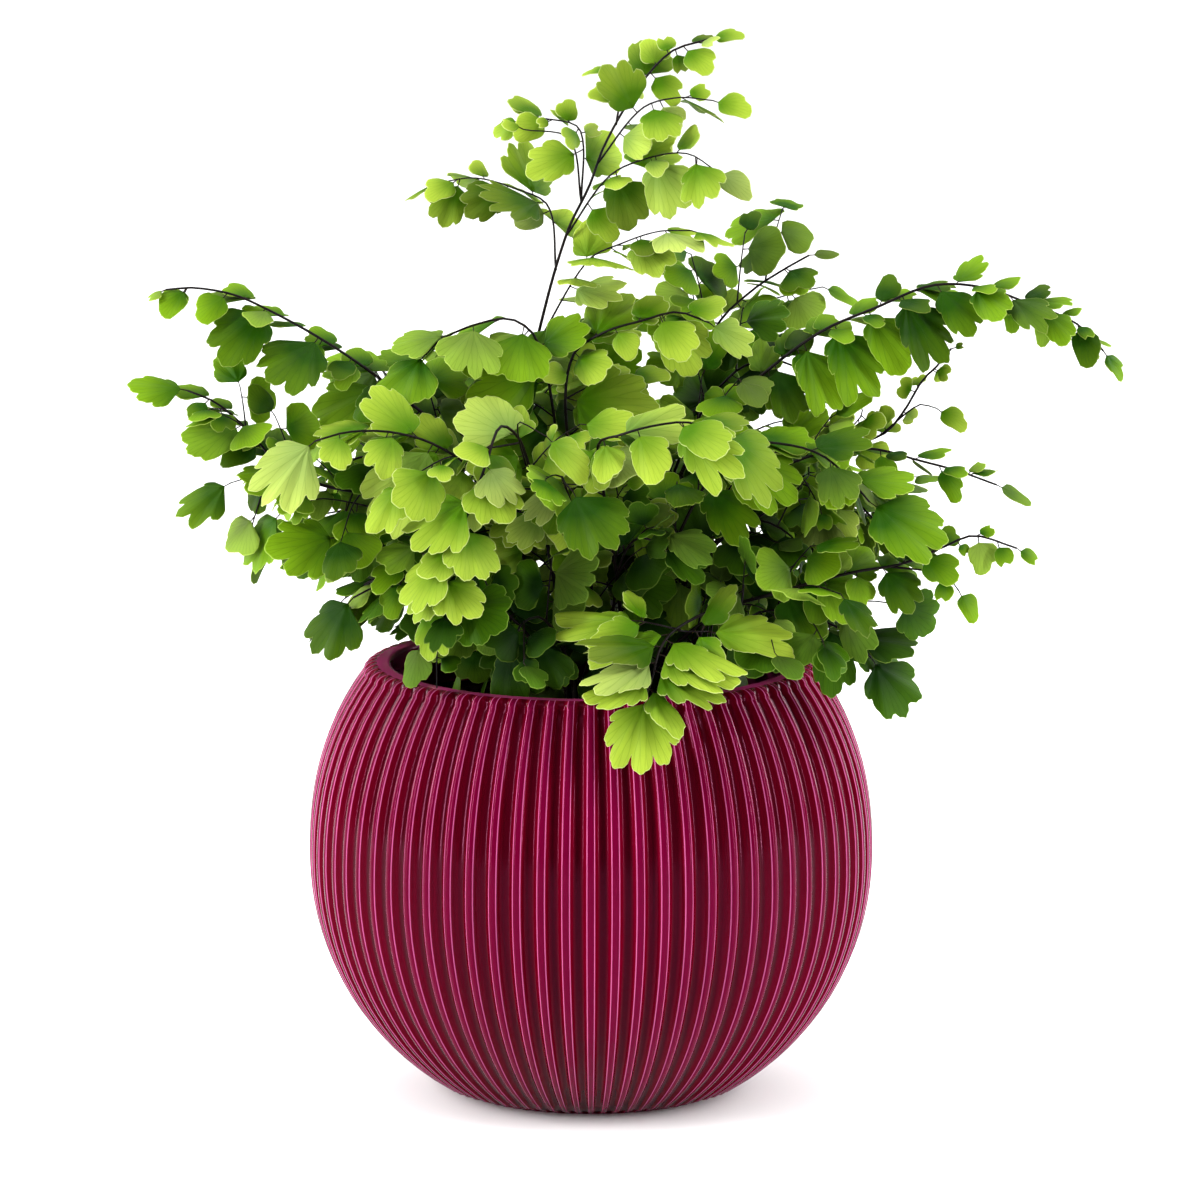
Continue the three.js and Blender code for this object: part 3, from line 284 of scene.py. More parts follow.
# Every frond, from the front of the plant to its back. root is its place on the soil, and path goes
# on from there as (x, y, seen height). leaves are lengths along the last part of the path, from bare
# onwards: on its right-hand side with a plus, on its left-hand side with a minus, and the last one at
# the tip. A spray is a side stalk with leaves of its own, from start on, and its tip says how
# one-sided its last leaflet is. wing makes the leaflets longer and one-sided, face is the way that
# they look, sag is how much they hang, tone is their colour, and twig_depth says where twigs grow.
FRONDS = [
    dict(
        name="frond_front_drooping", root=(17, -12), tone="light", wing=0.9, face=(0, -0.85, 0.68),
        twig_depth=TWIGS_NOWHERE, sag=0.15,
        path=[
            (26, -26, 124), (34, -42, 137), (30, -53, 136), (22, -61.5, 131), (18.6, -67, 125.5),
            (17.2, -71, 119.5), (15.2, -74, 113.5),
        ],
        bare=0.8, leaves=[20, -21, 20, -20, 19, -18, 17, -14, 17],
        sprays=[
            dict(start=0.77, path=[(17, -62.5, 133.8), (13.4, -61, 134.5)], bare=0.85, tip=0.85,
                leaves=[-14, 13, 21]),
            dict(start=0.77, path=[(26, -62, 131.6), (32, -61.5, 131.6)], bare=0.7, tip=0.7,
                leaves=[13, -14, 20]),
        ],
    ),
    dict(
        name="frond_front_left", root=(-5, -14), tone="light", wing=0.15, face=(-0.1, -0.75, 0.65),
        twig_depth=0.2,
        path=[
            (-11, -26, 150), (-19, -40, 184), (-25, -50, 189), (-29, -57, 178), (-34, -62, 164),
            (-39, -64, 152), (-43, -62, 139),
        ],
        bare=0.52, leaves=[17, -13, 15, -19, 15, -13, 17, -13, 16, 12, 13],
        sprays=[
            dict(start=0.6, path=[(-40, -60, 180), (-52, -60, 173)], bare=0.3, leaves=[-13, 11, -13, 13]),
            dict(start=0.5, path=[(-20, -56, 190), (-12, -57, 186)], bare=0.5, leaves=[13, 13]),
        ],
    ),
    dict(
        name="frond_front_right", root=(9, -12), tone="light", wing=0.45, face=(0.05, -0.75, 0.72),
        twig_depth=0.2,
        path=[
            (8, -24, 140), (4, -38, 168), (2, -50, 184), (8, -58, 186.5), (17, -60, 189),
            (27, -59, 190), (36, -56, 187),
        ],
        bare=0.66, leaves=[9, -14, 11, -17, 13, -20, 19, -13, 19],
    ),
    dict(
        name="frond_right_big", root=(12, -9), tone="mid", wing=0.35, face=(0.2, -0.75, 0.87),
        twig_depth=0.2,
        path=[
            (18, -18, 140), (30, -30, 170), (43, -38, 184), (55, -44, 184), (64, -47, 181),
            (71, -49, 175), (77, -50, 168),
        ],
        bare=0.6, leaves=[16, -14, 18, -15, 15, -18, 12, -15, 19],
    ),
    dict(
        name="frond_left_bright", root=(-9, -9), tone="light", wing=0.4, face=(-0.1, -0.75, 0.8),
        twig_depth=0.2,
        path=[
            (-18, -20, 150), (-31, -34, 175), (-43, -44, 184), (-55, -49, 187.5), (-67, -51, 187.5),
            (-76, -52, 185),
        ],
        bare=0.62, leaves=[11, -12, 12, -22, 14, -8, 15, -14, 18],
    ),
    dict(
        name="frond_middle", root=(1, -9), tone="mid", wing=0.1, face=(0.1, -0.75, 0.43),
        path=[(0, -22, 145), (-5, -36, 166), (-8, -46, 175), (-7, -53, 173), (-5, -58, 171)],
        bare=0.6, leaves=[-15, 12, -13, 17],
    ),
    dict(
        name="frond_low_right", root=(9, -19), tone="mid", wing=0.3, face=(0.3, -0.75, 0.58),
        path=[
            (22, -28, 126), (38, -36, 138), (52, -42, 142.5), (62, -45, 145.5), (74, -47, 148.5),
            (86, -47, 150.5), (97, -47, 155), (106, -47, 158.5), (118, -46, 155),
        ],
        bare=0.42, leaves=[11, -10, 12, 14, -13, 11, -12, 13, 12, -11, 13, -7, 8, 9, 6, 6],
        sprays=[
            dict(start=0.74, path=[(98, -48, 147.5), (102, -48, 143)], bare=0.75, leaves=[6, 8]),
        ],
    ),
    dict(
        name="frond_low_right_hanging", root=(14, -16), tone="dark", wing=0.5, face=(0.3, -0.75, 0.51),
        path=[
            (26, -24, 120), (42, -32, 131), (56, -38, 135), (66, -41, 134), (73, -43, 129), (78, -44, 124),
        ],
        bare=0.6, leaves=[11, 10, -12, 16, -15, 15],
        sprays=[
            dict(start=0.62, path=[(76, -46, 140), (86, -48, 139)], bare=0.6, leaves=[17, 20]),
        ],
    ),
    dict(
        name="frond_low_left", root=(-9, -18), tone="mid", wing=0.4, face=(-0.3, -0.75, 0.58),
        twig_depth=TWIGS_EVERYWHERE,
        path=[(-20, -28, 128), (-34, -37, 142), (-48, -42, 146.5), (-59, -44, 144.5), (-66, -45, 141)],
        bare=0.55, leaves=[-12, 9, -14, 9, -14, 9, 15],
        sprays=[
            dict(start=0.52, path=[(-58, -43, 155), (-70, -46, 158)], bare=0.4, leaves=[-10, -10, 7, 16]),
        ],
    ),
    dict(
        name="frond_low_inner_left", root=(-5, -22), tone="dark", wing=0.1, face=(-0.1, -0.75, 0.51),
        twig_depth=TWIGS_EVERYWHERE,
        path=[(-12, -30, 122), (-24, -40, 137), (-35, -48, 140), (-43, -51, 134), (-47, -52, 128)],
        bare=0.5, leaves=[-12, 11, -12, 11, 9, 10],
    ),
    dict(
        name="frond_low_inner", root=(0, -24), tone="dark", wing=0, face=(0, -0.75, 0.58),
        path=[(-6, -32, 122), (-13, -40, 135), (-19, -46, 134), (-22, -49, 127)],
        bare=0.55, leaves=[12, -12, 12, 14],
    ),
    dict(
        name="frond_low_inner_right", root=(14, -22), tone="dark", wing=0.1, face=(0.1, -0.75, 0.43),
        path=[(23, -31, 121), (35, -37, 128), (47, -41, 137), (57, -43, 137)],
        bare=0.4, leaves=[12, -13, 12, -11, 12, -11, 11],
    ),
    dict(
        name="frond_centre_left", root=(-4, 2), tone="mid", wing=0.15, face=(-0.1, -0.68, 0.87),
        path=[
            (-6, -2, 150), (-10, -8, 190), (-15, -13, 214), (-22, -17, 220), (-32, -20, 218.5),
            (-42, -22, 214), (-46, -23, 210),
        ],
        bare=0.55, leaves=[-16, -16, 19, -19, 12, -19, 18, -15, 13, 15],
    ),
    dict(
        name="frond_upper_left", root=(-12, 3), tone="mid", wing=0.3, face=(-0.1, -0.45, 0.9),
        sag=0.32,
        path=[
            (-22, -4, 150), (-38, -12, 184), (-55, -18, 200), (-67, -22, 209), (-78, -25, 216),
            (-89, -27, 222), (-99, -28, 226.5), (-110, -28, 228.5), (-118, -28, 228),
        ],
        bare=0.46, leaves=[-12, 9, -16, 11, -10, 8, -20, 9, -8, 9, -18, 10, 12, -16, 9, -9, 8, -8, 5],
    ),
    dict(
        name="frond_left", root=(-13, -4), tone="mid", wing=0.35, face=(-0.15, -0.45, 0.9),
        twig_depth=TWIGS_EVERYWHERE, sag=0.32,
        path=[
            (-25, -12, 140), (-43, -22, 162), (-62, -29, 170), (-77, -32, 173.5), (-87, -33, 179),
            (-95, -33, 188), (-104, -33, 196), (-112, -33, 199.5),
        ],
        bare=0.66, leaves=[8, -9, 10, -15, 11, -5, -15, 7, 10, 13],
        sprays=[
            dict(start=0.62, path=[(-90, -35, 176), (-100, -36, 173.5)], bare=0.3, leaves=[8, -7, 9, 14]),
            dict(start=0.48, path=[(-74, -38, 169), (-86, -40, 165)], bare=0.2,
                leaves=[-16, 12, -16, 12, 15]),
        ],
    ),
    dict(
        name="frond_centre_right", root=(3, -3), tone="light", wing=0.3, face=(0, -0.75, 0.72),
        path=[
            (-1, -6, 150), (-7, -10, 192), (-5, -13, 210), (4, -16, 216.5), (14, -18, 219.5),
            (24, -19, 222), (33, -19, 219),
        ],
        bare=0.56, leaves=[9, -12, 20, -9, 11, -17, 8, -13, 15, -10, 12],
    ),
    dict(
        name="frond_tall", root=(-9, 8), tone="light", wing=0.3, face=(0.12, -0.55, 0.85),
        sag=0.25,
        path=[
            (-14, 7, 140), (-19, 6, 172), (-18, 6, 200), (-13, 6, 224), (-6.5, 6, 246),
            (-0.5, 5, 258.5), (4, 5, 270.5), (13, 5, 286), (22.5, 5, 296.5), (33, 5, 300),
        ],
        bare=0.9, leaves=[-13, 9, -9, 10, -6, 9, 9, -6, 7, 8],
        sprays=[
            dict(start=0.525, path=[(-1, 0, 237), (9, -6, 242), (19, -12, 245), (28, -17, 245)], bare=0.1,
                leaves=[14, -15, 12, 18, -14, 9, 15, -11]),
            dict(start=0.625, path=[(-12, 10, 253), (-22, 14, 258.5), (-33, 18, 261.5), (-44, 21, 260)],
                bare=0.25, leaves=[15, -18, 13, -7, 12, -9, 8]),
            dict(start=0.672, path=[(5, 1, 261), (16, -4, 266), (27, -9, 267), (35, -12, 262)], bare=0.2,
                leaves=[10, -11, 16, -12, 14, -10, 13, 10]),
            dict(start=0.72, path=[(-3, 9, 274.5), (-12, 14, 278), (-20, 18, 278)], bare=0.3,
                leaves=[14, -6, -12, 7, -11, 8, 8]),
            dict(start=0.72, path=[(-6, 8, 272), (-19, 13, 275)], bare=0.8, leaves=[7]),
            dict(start=0.775, path=[(14, 1, 280), (24, -4, 283), (34, -8, 282)], bare=0.25,
                leaves=[14, -13, 13, -6, 9]),
            dict(start=0.83, path=[(9, 8, 291.5), (5, 10, 292)], bare=0.4, leaves=[-7, 6, -7]),
        ],
    ),
    dict(
        name="frond_right_arching", root=(12, 3), tone="mid", wing=0.5, face=(0.1, -0.45, 0.9),
        sag=0.3,
        path=[
            (17, 0, 150), (26, -4, 178), (37, -8, 194), (51, -11, 207), (65, -14, 217),
            (80, -16, 223.5), (95, -18, 229.5), (109, -19, 229), (123, -20, 224), (135, -20, 219),
            (143, -20, 211),
        ],
        bare=0.52,
        leaves=[
            -12, 14, -10, 17, -9, 19, -10, 16, -11, 18, -12, 14, -14, 13, -9, 15, -12, 11, -8, 10, -6, 8,
        ],
    ),
    dict(
        name="frond_right_slim", root=(17, 0), tone="mid", wing=0.6, face=(0.1, -0.35, 0.95),
        sag=0.15,
        path=[
            (30, -8, 155), (50, -18, 176), (68, -25, 183), (80, -28, 183), (91, -30, 180),
            (102, -31, 177), (113, -31, 173),
        ],
        bare=0.55, leaves=[-12, 9, -13, 9, -10, 8, -10, 8, -8, 9],
    ),
    dict(
        name="frond_right_young", root=(18, 6), tone="light", wing=0, face=(0, -0.75, 0.29),
        path=[
            (34, 2, 155), (54, -3, 175), (72, -6, 184), (82.5, -7, 188), (88, -8, 194.5), (93, -8, 203),
            (97, -9, 207), (101, -9, 212),
        ],
        bare=0.6, leaves=[12, -13, -7, 7, -6, 5, -5, 4, 3],
        sprays=[
            dict(start=0.79, path=[(92, -9, 196), (97, -10, 195)], bare=0.5, leaves=[-7, 8]),
            dict(start=0.62, path=[(76, -8, 193), (74, -9, 199)], bare=0.35, leaves=[6, -5, 6, 6]),
        ],
    ),
    dict(
        name="frond_right_inner", root=(15, -3), tone="dark", wing=0.2, face=(0.1, -0.75, 0.43),
        twig_depth=TWIGS_EVERYWHERE,
        path=[(24, -14, 140), (34, -24, 155), (45, -31, 163), (54, -33, 160), (60, -34, 153)],
        bare=0.4, leaves=[12, -12, 13, -12, 14, -11, 13, 12],
    ),
    dict(
        name="frond_centre_inner", root=(4, -14), tone="dark", wing=0, face=(0.1, -0.75, 0.43),
        path=[(6, -24, 134), (8, -34, 150), (13, -40, 158), (20, -43, 156)],
        bare=0.4, leaves=[13, -13, 13, -12, 12],
    ),
    dict(
        name="frond_left_inner", root=(-14, -12), tone="dark", wing=0.1, face=(-0.2, -0.75, 0.58),
        twig_depth=TWIGS_EVERYWHERE,
        path=[(-24, -20, 138), (-37, -28, 154), (-51, -33, 161), (-62, -35, 161), (-71, -36, 158)],
        bare=0.45, leaves=[11, -13, 11, -14, 12, -13, 12],
    ),
    dict(
        name="frond_left_back", root=(-9, 12), tone="dark", wing=0.1, face=(-0.2, -0.68, 1.01),
        twig_depth=TWIGS_EVERYWHERE,
        path=[(-20, 9, 155), (-34, 4, 184), (-46, -1, 197), (-56, -4, 201), (-64, -6, 200)],
        bare=0.5, leaves=[12, -13, 11, -12, 10, -11, 10],
    ),
    dict(
        name="frond_right_back", root=(11, 9), tone="dark", wing=0.1, face=(0.1, -0.68, 0.87),
        twig_depth=TWIGS_EVERYWHERE,
        path=[(20, 7, 165), (30, 4, 192), (41, 1, 206), (51, -1, 209), (60, -2, 206)],
        bare=0.5, leaves=[12, -12, 13, -12, 12, -9, 12],
    ),
    dict(
        name="frond_back_right_tall", root=(8, 14), tone="mid", wing=0, face=(0.3, -0.45, 1.16),
        twig_depth=TWIGS_EVERYWHERE,
        path=[(18, 20, 160), (28, 25, 200), (36, 28, 220), (46, 30, 230), (55, 31, 236), (62, 32, 240)],
        bare=0.55, leaves=[13, -13, 12, -11, 11, -9, 9, -8, 8, 7],
        sprays=[
            dict(start=0.6, path=[(46, 32, 224), (57, 34, 229), (66, 35, 231)], bare=0.2,
                leaves=[11, -10, 10, -9, 9, 9]),
        ],
    ),
    dict(
        name="frond_side_right", root=(22, -4), tone="mid", wing=0.15, face=(1, -0.15, 0.72),
        twig_depth=TWIGS_EVERYWHERE,
        path=[(34, -2, 140), (50, 0, 166), (62, 2, 173), (74, 3, 169), (84, 4, 159)],
        bare=0.35, leaves=[12, -13, 14, -15, 15, -13, 13, -11, 12],
    ),
    dict(
        name="frond_side_left", root=(-20, -1), tone="mid", wing=0.15, face=(-1, -0.15, 0.72),
        twig_depth=TWIGS_EVERYWHERE,
        path=[(-33, 0, 140), (-48, 2, 170), (-58, 3, 181), (-69, 3, 180), (-79, 2, 171)],
        bare=0.35, leaves=[-12, 13, -14, 15, -15, 13, -13, 11, 12],
    ),
    dict(
        name="frond_side_low_right", root=(21, 8), tone="dark", wing=0.15, face=(0.9, 0.08, 0.87),
        twig_depth=TWIGS_EVERYWHERE,
        path=[(34, 13, 130), (50, 17, 144), (62, 20, 146), (72, 22, 140)],
        bare=0.35, leaves=[12, -12, 14, -14, 14, -12, 13],
    ),
    dict(
        name="frond_side_low_left", root=(-20, 6), tone="dark", wing=0.15, face=(-0.9, 0.08, 0.87),
        twig_depth=TWIGS_EVERYWHERE,
        path=[(-33, 10, 130), (-48, 14, 145), (-60, 17, 147), (-70, 19, 141)],
        bare=0.35, leaves=[-12, 12, -14, 14, -14, 12, 13],
    ),
    dict(
        name="frond_back_left_high", root=(-6, 17), tone="mid", wing=0.1, face=(-0.3, 0.68, 1.01),
        twig_depth=TWIGS_EVERYWHERE,
        path=[(-14, 30, 165), (-27, 45, 200), (-40, 57, 206), (-52, 66, 200)],
        bare=0.3, leaves=[12, -13, 15, -15, 16, -14, 14, -12, 13],
    ),
    dict(
        name="frond_back_high", root=(2, 20), tone="mid", wing=0.1, face=(0, 0.75, 0.87),
        twig_depth=TWIGS_EVERYWHERE,
        path=[(2, 36, 170), (-1, 52, 204), (-4, 68, 212), (-8, 82, 203)],
        bare=0.3, leaves=[13, -14, 15, -16, 16, -14, 14, -12, 14],
    ),
    dict(
        name="frond_back_right_high", root=(11, 19), tone="mid", wing=0.1, face=(0.4, 0.75, 0.87),
        twig_depth=TWIGS_EVERYWHERE,
        path=[(20, 36, 160), (34, 54, 188), (46, 68, 190), (56, 78, 182)],
        bare=0.3, leaves=[12, -14, 15, -15, 16, -14, 14, -12, 13],
    ),
    dict(
        name="frond_back_right_side", root=(18, 13), tone="mid", wing=0.2, face=(0.7, 0.52, 0.87),
        twig_depth=TWIGS_EVERYWHERE,
        path=[(36, 24, 145), (56, 34, 164), (74, 41, 168), (88, 46, 163)],
        bare=0.3, leaves=[12, -13, 14, -15, 15, -13, 13, -11, 12],
    ),
    dict(
        name="frond_back_left_side", root=(-16, 13), tone="mid", wing=0.2, face=(-0.7, 0.52, 0.87),
        twig_depth=TWIGS_EVERYWHERE,
        path=[(-34, 24, 145), (-53, 34, 164), (-69, 41, 167), (-80, 46, 161)],
        bare=0.3, leaves=[12, -13, 14, -15, 15, -13, 13, -11, 12],
    ),
    dict(
        name="frond_back_low_left", root=(-9, 24), tone="dark", wing=0.2, face=(-0.4, 0.75, 0.72),
        twig_depth=TWIGS_EVERYWHERE,
        path=[(-22, 40, 132), (-37, 56, 148), (-48, 68, 150), (-55, 76, 144)],
        bare=0.35, leaves=[12, -12, 14, -14, 14, -12, 13],
    ),
    dict(
        name="frond_back_low", root=(3, 27), tone="dark", wing=0.2, face=(0, 0.75, 0.72),
        twig_depth=TWIGS_EVERYWHERE,
        path=[(4, 44, 134), (5, 62, 150), (6, 76, 152), (7, 86, 145)],
        bare=0.35, leaves=[12, -12, 14, -14, 14, -12, 13],
    ),
    dict(
        name="frond_back_low_right", root=(14, 25), tone="dark", wing=0.2, face=(0.5, 0.75, 0.72),
        twig_depth=TWIGS_EVERYWHERE,
        path=[(28, 40, 132), (44, 54, 146), (58, 64, 148), (68, 71, 142)],
        bare=0.35, leaves=[12, -12, 14, -14, 14, -12, 13],
    ),
]


def draws_from(seed):
    """A repeatable random draw in [-1, 1), from a whole number, the same as in part.mjs."""
    whole = 0xFFFFFFFF
    state = seed & whole

    def draw():
        nonlocal state
        state = (state + 0x6D2B79F5) & whole
        mixed = ((state ^ (state >> 15)) * (state | 1)) & whole
        mixed ^= (mixed + ((mixed ^ (mixed >> 7)) * (mixed | 61))) & whole
        return (mixed ^ (mixed >> 14)) / (whole + 1) * 2 - 1

    return draw


def unit(vector):
    """The same direction with a length of 1."""
    return vector / np.linalg.norm(vector)


def rotated(vector, axis, degrees):
    """A vector turned round a unit axis."""
    angle = math.radians(degrees)
    along = axis * np.dot(axis, vector) * (1 - math.cos(angle))
    return vector * math.cos(angle) + np.cross(axis, vector) * math.sin(angle) + along


def smooth_step(low, high, value):
    """A smooth way from 0 at low to 1 at high."""
    share = np.clip((value - low) / (high - low), 0, 1)
    return share * share * (3 - 2 * share)


def pot_radius_at(z):
    """The pot's outer radius at a height, over the tops of its ribs."""
    above = z > POT_WIDEST_AT
    reach = POT_UPPER_REACH if above else POT_LOWER_REACH
    power = POT_UPPER_POWER if above else POT_LOWER_POWER
    share = min(abs(z - POT_WIDEST_AT) / reach, 1)
    return POT_RADIUS * (1 - share ** power) ** (1 / power)


class Stem:
    """A stem through its knots. Its straight runs place the leaflets, as in the solids, and its
    smooth curve is what shows."""

    def __init__(self, knots, radii, thin, frond, kind):
        self.knots = np.array(knots, float)
        steps = np.linalg.norm(np.diff(self.knots, axis=0), axis=1)
        self.reached = np.concatenate([[0], np.cumsum(steps)])
        self.length = self.reached[-1]
        self.root_radius, self.tip_radius = radii
        self.thin = thin
        self.frond = frond
        self.kind = kind
        span = self.reached[2:] - self.reached[:-2]
        inner = (self.knots[2:] - self.knots[:-2]) / span[:, None]
        first = (self.knots[1] - self.knots[0]) / steps[0]
        last = (self.knots[-1] - self.knots[-2]) / steps[-1]
        self.slopes = np.vstack([first, inner, last])

    def along(self, share):
        """The place and direction at a share of its length, on the straight runs."""
        far = share * self.length
        i = 0
        while i + 2 < len(self.knots) and self.reached[i + 1] < far:
            i += 1
        step = (far - self.reached[i]) / (self.reached[i + 1] - self.reached[i])
        run = self.knots[i + 1] - self.knots[i]
        return self.knots[i] + run * step, unit(run), i

    def curve(self, share):
        """The place at a share of its length, on the smooth curve."""
        far = share * self.length
        i = int(np.clip(np.searchsorted(self.reached, far) - 1, 0, len(self.knots) - 2))
        run = self.reached[i + 1] - self.reached[i]
        t = (far - self.reached[i]) / run
        return (
            self.knots[i] * (1 + 2 * t) * (1 - t) ** 2
            + self.slopes[i] * run * t * (1 - t) ** 2
            + self.knots[i + 1] * t * t * (3 - 2 * t)
            + self.slopes[i + 1] * run * t * t * (t - 1)
        )

    def samples(self):
        """Points along the straight runs, with the radii of the solid there."""
        count = math.ceil(self.length / SAMPLE_STEP)
        places = []
        radii = []
        for k in range(count + 1):
            place, _, i = self.along(k / count)
            places.append(place)
            share = self.reached[i] / self.length
            radii.append(self.root_radius + (self.tip_radius - self.root_radius) * share)
        return np.array(places), np.array(radii)


class Leaf:
    """A leaflet's own frame and form, as in part.mjs."""

    def __init__(self, root, heading, normal, length, wing, mirror, seed):
        draw = draws_from(seed)
        self.root = root
        self.heading = heading
        self.normal = normal
        self.across = np.cross(normal, heading) * mirror
        self.mirror = mirror
        self.length = length
        self.neck = NECK_LEAST + NECK_SHARE * length
        self.reach = length - self.neck
        spread = 1 + SPREAD_NOISE * draw()
        self.start = math.radians((FAN["start"] + (WING["start"] - FAN["start"]) * wing) * spread)
        self.end = math.radians((FAN["end"] + (WING["end"] - FAN["end"]) * wing) * spread)
        self.narrow = 1 / ((1 - wing) / FAN["narrow"] + wing / WING["narrow"])
        self.wide = 1 / ((1 - wing) / FAN["wide"] + wing / WING["wide"])
        self.lobes = 4 if length > FOUR_LOBES_FROM else 3 if length > THREE_LOBES_FROM else 2
        self.cup = CUP * (1 + FORM_NOISE * draw())
        self.ripple = RIPPLE * draw()
        self.notch = 1 + NOTCH_NOISE * draw()
        self.looks = (draw(), draw())
        self.samples = self.sampled()

    def rise(self, far, share):
        """How far its face stands off its plane."""
        aside = 2 * share - 1
        slope = self.ripple * np.cos(2 * math.pi * self.lobes * share) - self.cup * aside * aside
        return far * slope - DROOP * far * far / self.reach

    def far(self, angle):
        """How far its fan reaches at an angle from its heading."""
        width = np.where(angle < 0, self.narrow, self.wide)
        return self.reach / (1 + (np.sin(angle) / width) ** FAN_POWER) ** (1 / FAN_POWER)

    def point(self, angle, far, share):
        """The middle of its blade, so far out from the point of its fan at an angle."""
        aside = (self.neck + far * np.cos(angle))[..., None] * self.heading
        aside = aside + (far * np.sin(angle))[..., None] * self.across
        return self.root + aside + self.rise(far, share)[..., None] * self.normal

    def sampled(self):
        """Points all over its blade, with which others are kept clear of it."""
        rows = math.ceil(self.reach / SAMPLE_STEP)
        columns = math.ceil((self.end - self.start) * self.reach / SAMPLE_STEP)
        share, part = np.meshgrid(np.arange(columns + 1) / columns, np.arange(1, rows + 1) / rows)
        angle = self.start + (self.end - self.start) * share
        fan = self.point(angle, self.far(angle) * part, share).reshape(-1, 3)
        return np.vstack([self.root + self.heading * self.neck, fan])

    def near(self, points, gap):
        """Which points lie within a gap of its blade."""
        offset = points - self.root
        u = offset @ self.heading - self.neck
        v = offset @ self.across
        far = np.hypot(u, v)
        slack = gap / np.maximum(far, gap)
        angle = np.arctan2(v, u)
        share = (angle - self.start) / (self.end - self.start)
        inside = np.clip(share, 0, 1)
        beside = (share >= -slack) & (share <= 1 + slack) & (far <= self.far(angle) + gap)
        return beside & (np.abs(offset @ self.normal - self.rise(far, inside)) < gap)


class Plant:
    """All stems and leaflets, each kept clear of the others."""

    def __init__(self):
        self.stems = []
        self.leaves = []
        self.stem_points = np.zeros((0, 3))
        self.stem_radii = np.zeros(0)
        self.stem_fronds = np.zeros(0, int)
        self.roots = np.zeros((0, 3))

    def add_stem(self, stem):
        """Adds a stem, with the points that leaflets keep clear of."""
        places, radii = stem.samples()
        self.stems.append(stem)
        self.stem_points = np.vstack([self.stem_points, places])
        self.stem_radii = np.concatenate([self.stem_radii, radii])
        self.stem_fronds = np.concatenate([self.stem_fronds, np.full(len(places), stem.frond)])

    def add_leaf(self, leaf, stem, share):
        """Adds a leaflet, with its stalk's foot on the stem."""
        leaf.frond = stem.frond
        leaf.foot = stem.curve(share)
        self.leaves.append(leaf)
        self.roots = np.vstack([self.roots, leaf.root])

    def is_clear(self, leaf, stem, small):
        """Whether a leaflet clears the pot, the stems and the other leaflets."""
        frond = stem.frond
        if near_pot(leaf.samples).any() or (small and outside_box(leaf.samples)):
            return False
        if stem.kind == "twig" and over_rim(leaf.samples):
            return False
        apart = np.linalg.norm(self.stem_points - leaf.root, axis=1)
        own = (self.stem_fronds == frond) & (apart < leaf.neck + OWN_STALK)
        close = (apart <= leaf.reach + leaf.neck + LEAF_GAP) & ~own
        if leaf.near(self.stem_points[close], self.stem_radii[close] + STEM_GAP).any():
            return False
        apart = np.linalg.norm(self.roots - leaf.root, axis=1)
        for i in np.nonzero(apart < leaf.length + LONGEST_LEAF)[0]:
            other = self.leaves[i]
            gap = SMALL_GAP if small else OWN_GAP if other.frond == frond else LEAF_GAP
            if apart[i] > leaf.length + other.length + gap:
                continue
            if leaf.near(other.samples, gap).any() or other.near(leaf.samples, gap).any():
                return False
        return True

    def is_free(self, twig):
        """Whether a twig clears the pot and the leaflets, and stays inside the solids' box."""
        points = twig.samples()[0][1:]
        if near_pot(points).any() or outside_box(points):
            return False
        for leaf in self.leaves:
            close = np.linalg.norm(leaf.root - points[0]) < leaf.length + twig.length
            if close and leaf.near(points, TWIG_GAP).any():
                return False
        return True

    def settle(self, asked, stem, share, small=False):
        """Adds the first of the tries that leaves a leaflet clear of all that is placed."""
        across = unit(np.cross(asked["normal"], asked["heading"]))
        for lift, swing, size in TRIES:
            normal = rotated(asked["normal"], across, -lift)
            heading = rotated(rotated(asked["heading"], across, -lift), normal, swing)
            leaf = Leaf(
                asked["root"], heading, normal, asked["length"] * size,
                asked["wing"], asked["mirror"], asked["seed"],
            )
            if self.is_clear(leaf, stem, small):
                self.add_leaf(leaf, stem, share)
                return True
        return False


def outside_box(points):
    """Whether any point lies outside the box of the solids, with a little to spare."""
    low, high = (np.array(corner) / METRES for corner in CAD_BOX)
    return bool((points < low - OUTSIDE_BOX).any() or (points > high + OUTSIDE_BOX).any())


def near_pot(points):
    """Which points are too close to the soil or to the pot's wall."""
    from_axis = np.hypot(points[:, 0], points[:, 1])
    z = points[:, 2]
    wall = np.array([pot_radius_at(height) for height in np.clip(z, POT_WIDEST_AT, POT_HEIGHT)])
    over_soil = from_axis < MOUTH_RADIUS - POT_GAP
    in_wall = from_axis < np.maximum(wall, MOUTH_RADIUS) + POT_GAP
    low = np.where(over_soil, z < SOIL_TOP + POT_GAP, in_wall)
    return (z <= POT_HEIGHT + POT_GAP) & low


def over_rim(points):
    """Whether any point hangs low over the rim or outside it."""
    low = points[:, 2] < POT_HEIGHT + RIM_ROOM
    outside = np.hypot(points[:, 0], points[:, 1]) > MOUTH_RADIUS - RIM_ROOM
    return bool((low & outside).any())


def placed(x, y, seen):
    """A point given by its height as seen from the front."""
    return (x, y, seen - y * math.tan(EYE_TILT))


def tip_wing(length):
    """How one-sided the leaflet at a tip is: a long one is a broad fan, and a short one is slim."""
    return BROAD_TIP_WING if length > BROAD_TIP_FROM else SLIM_TIP_WING


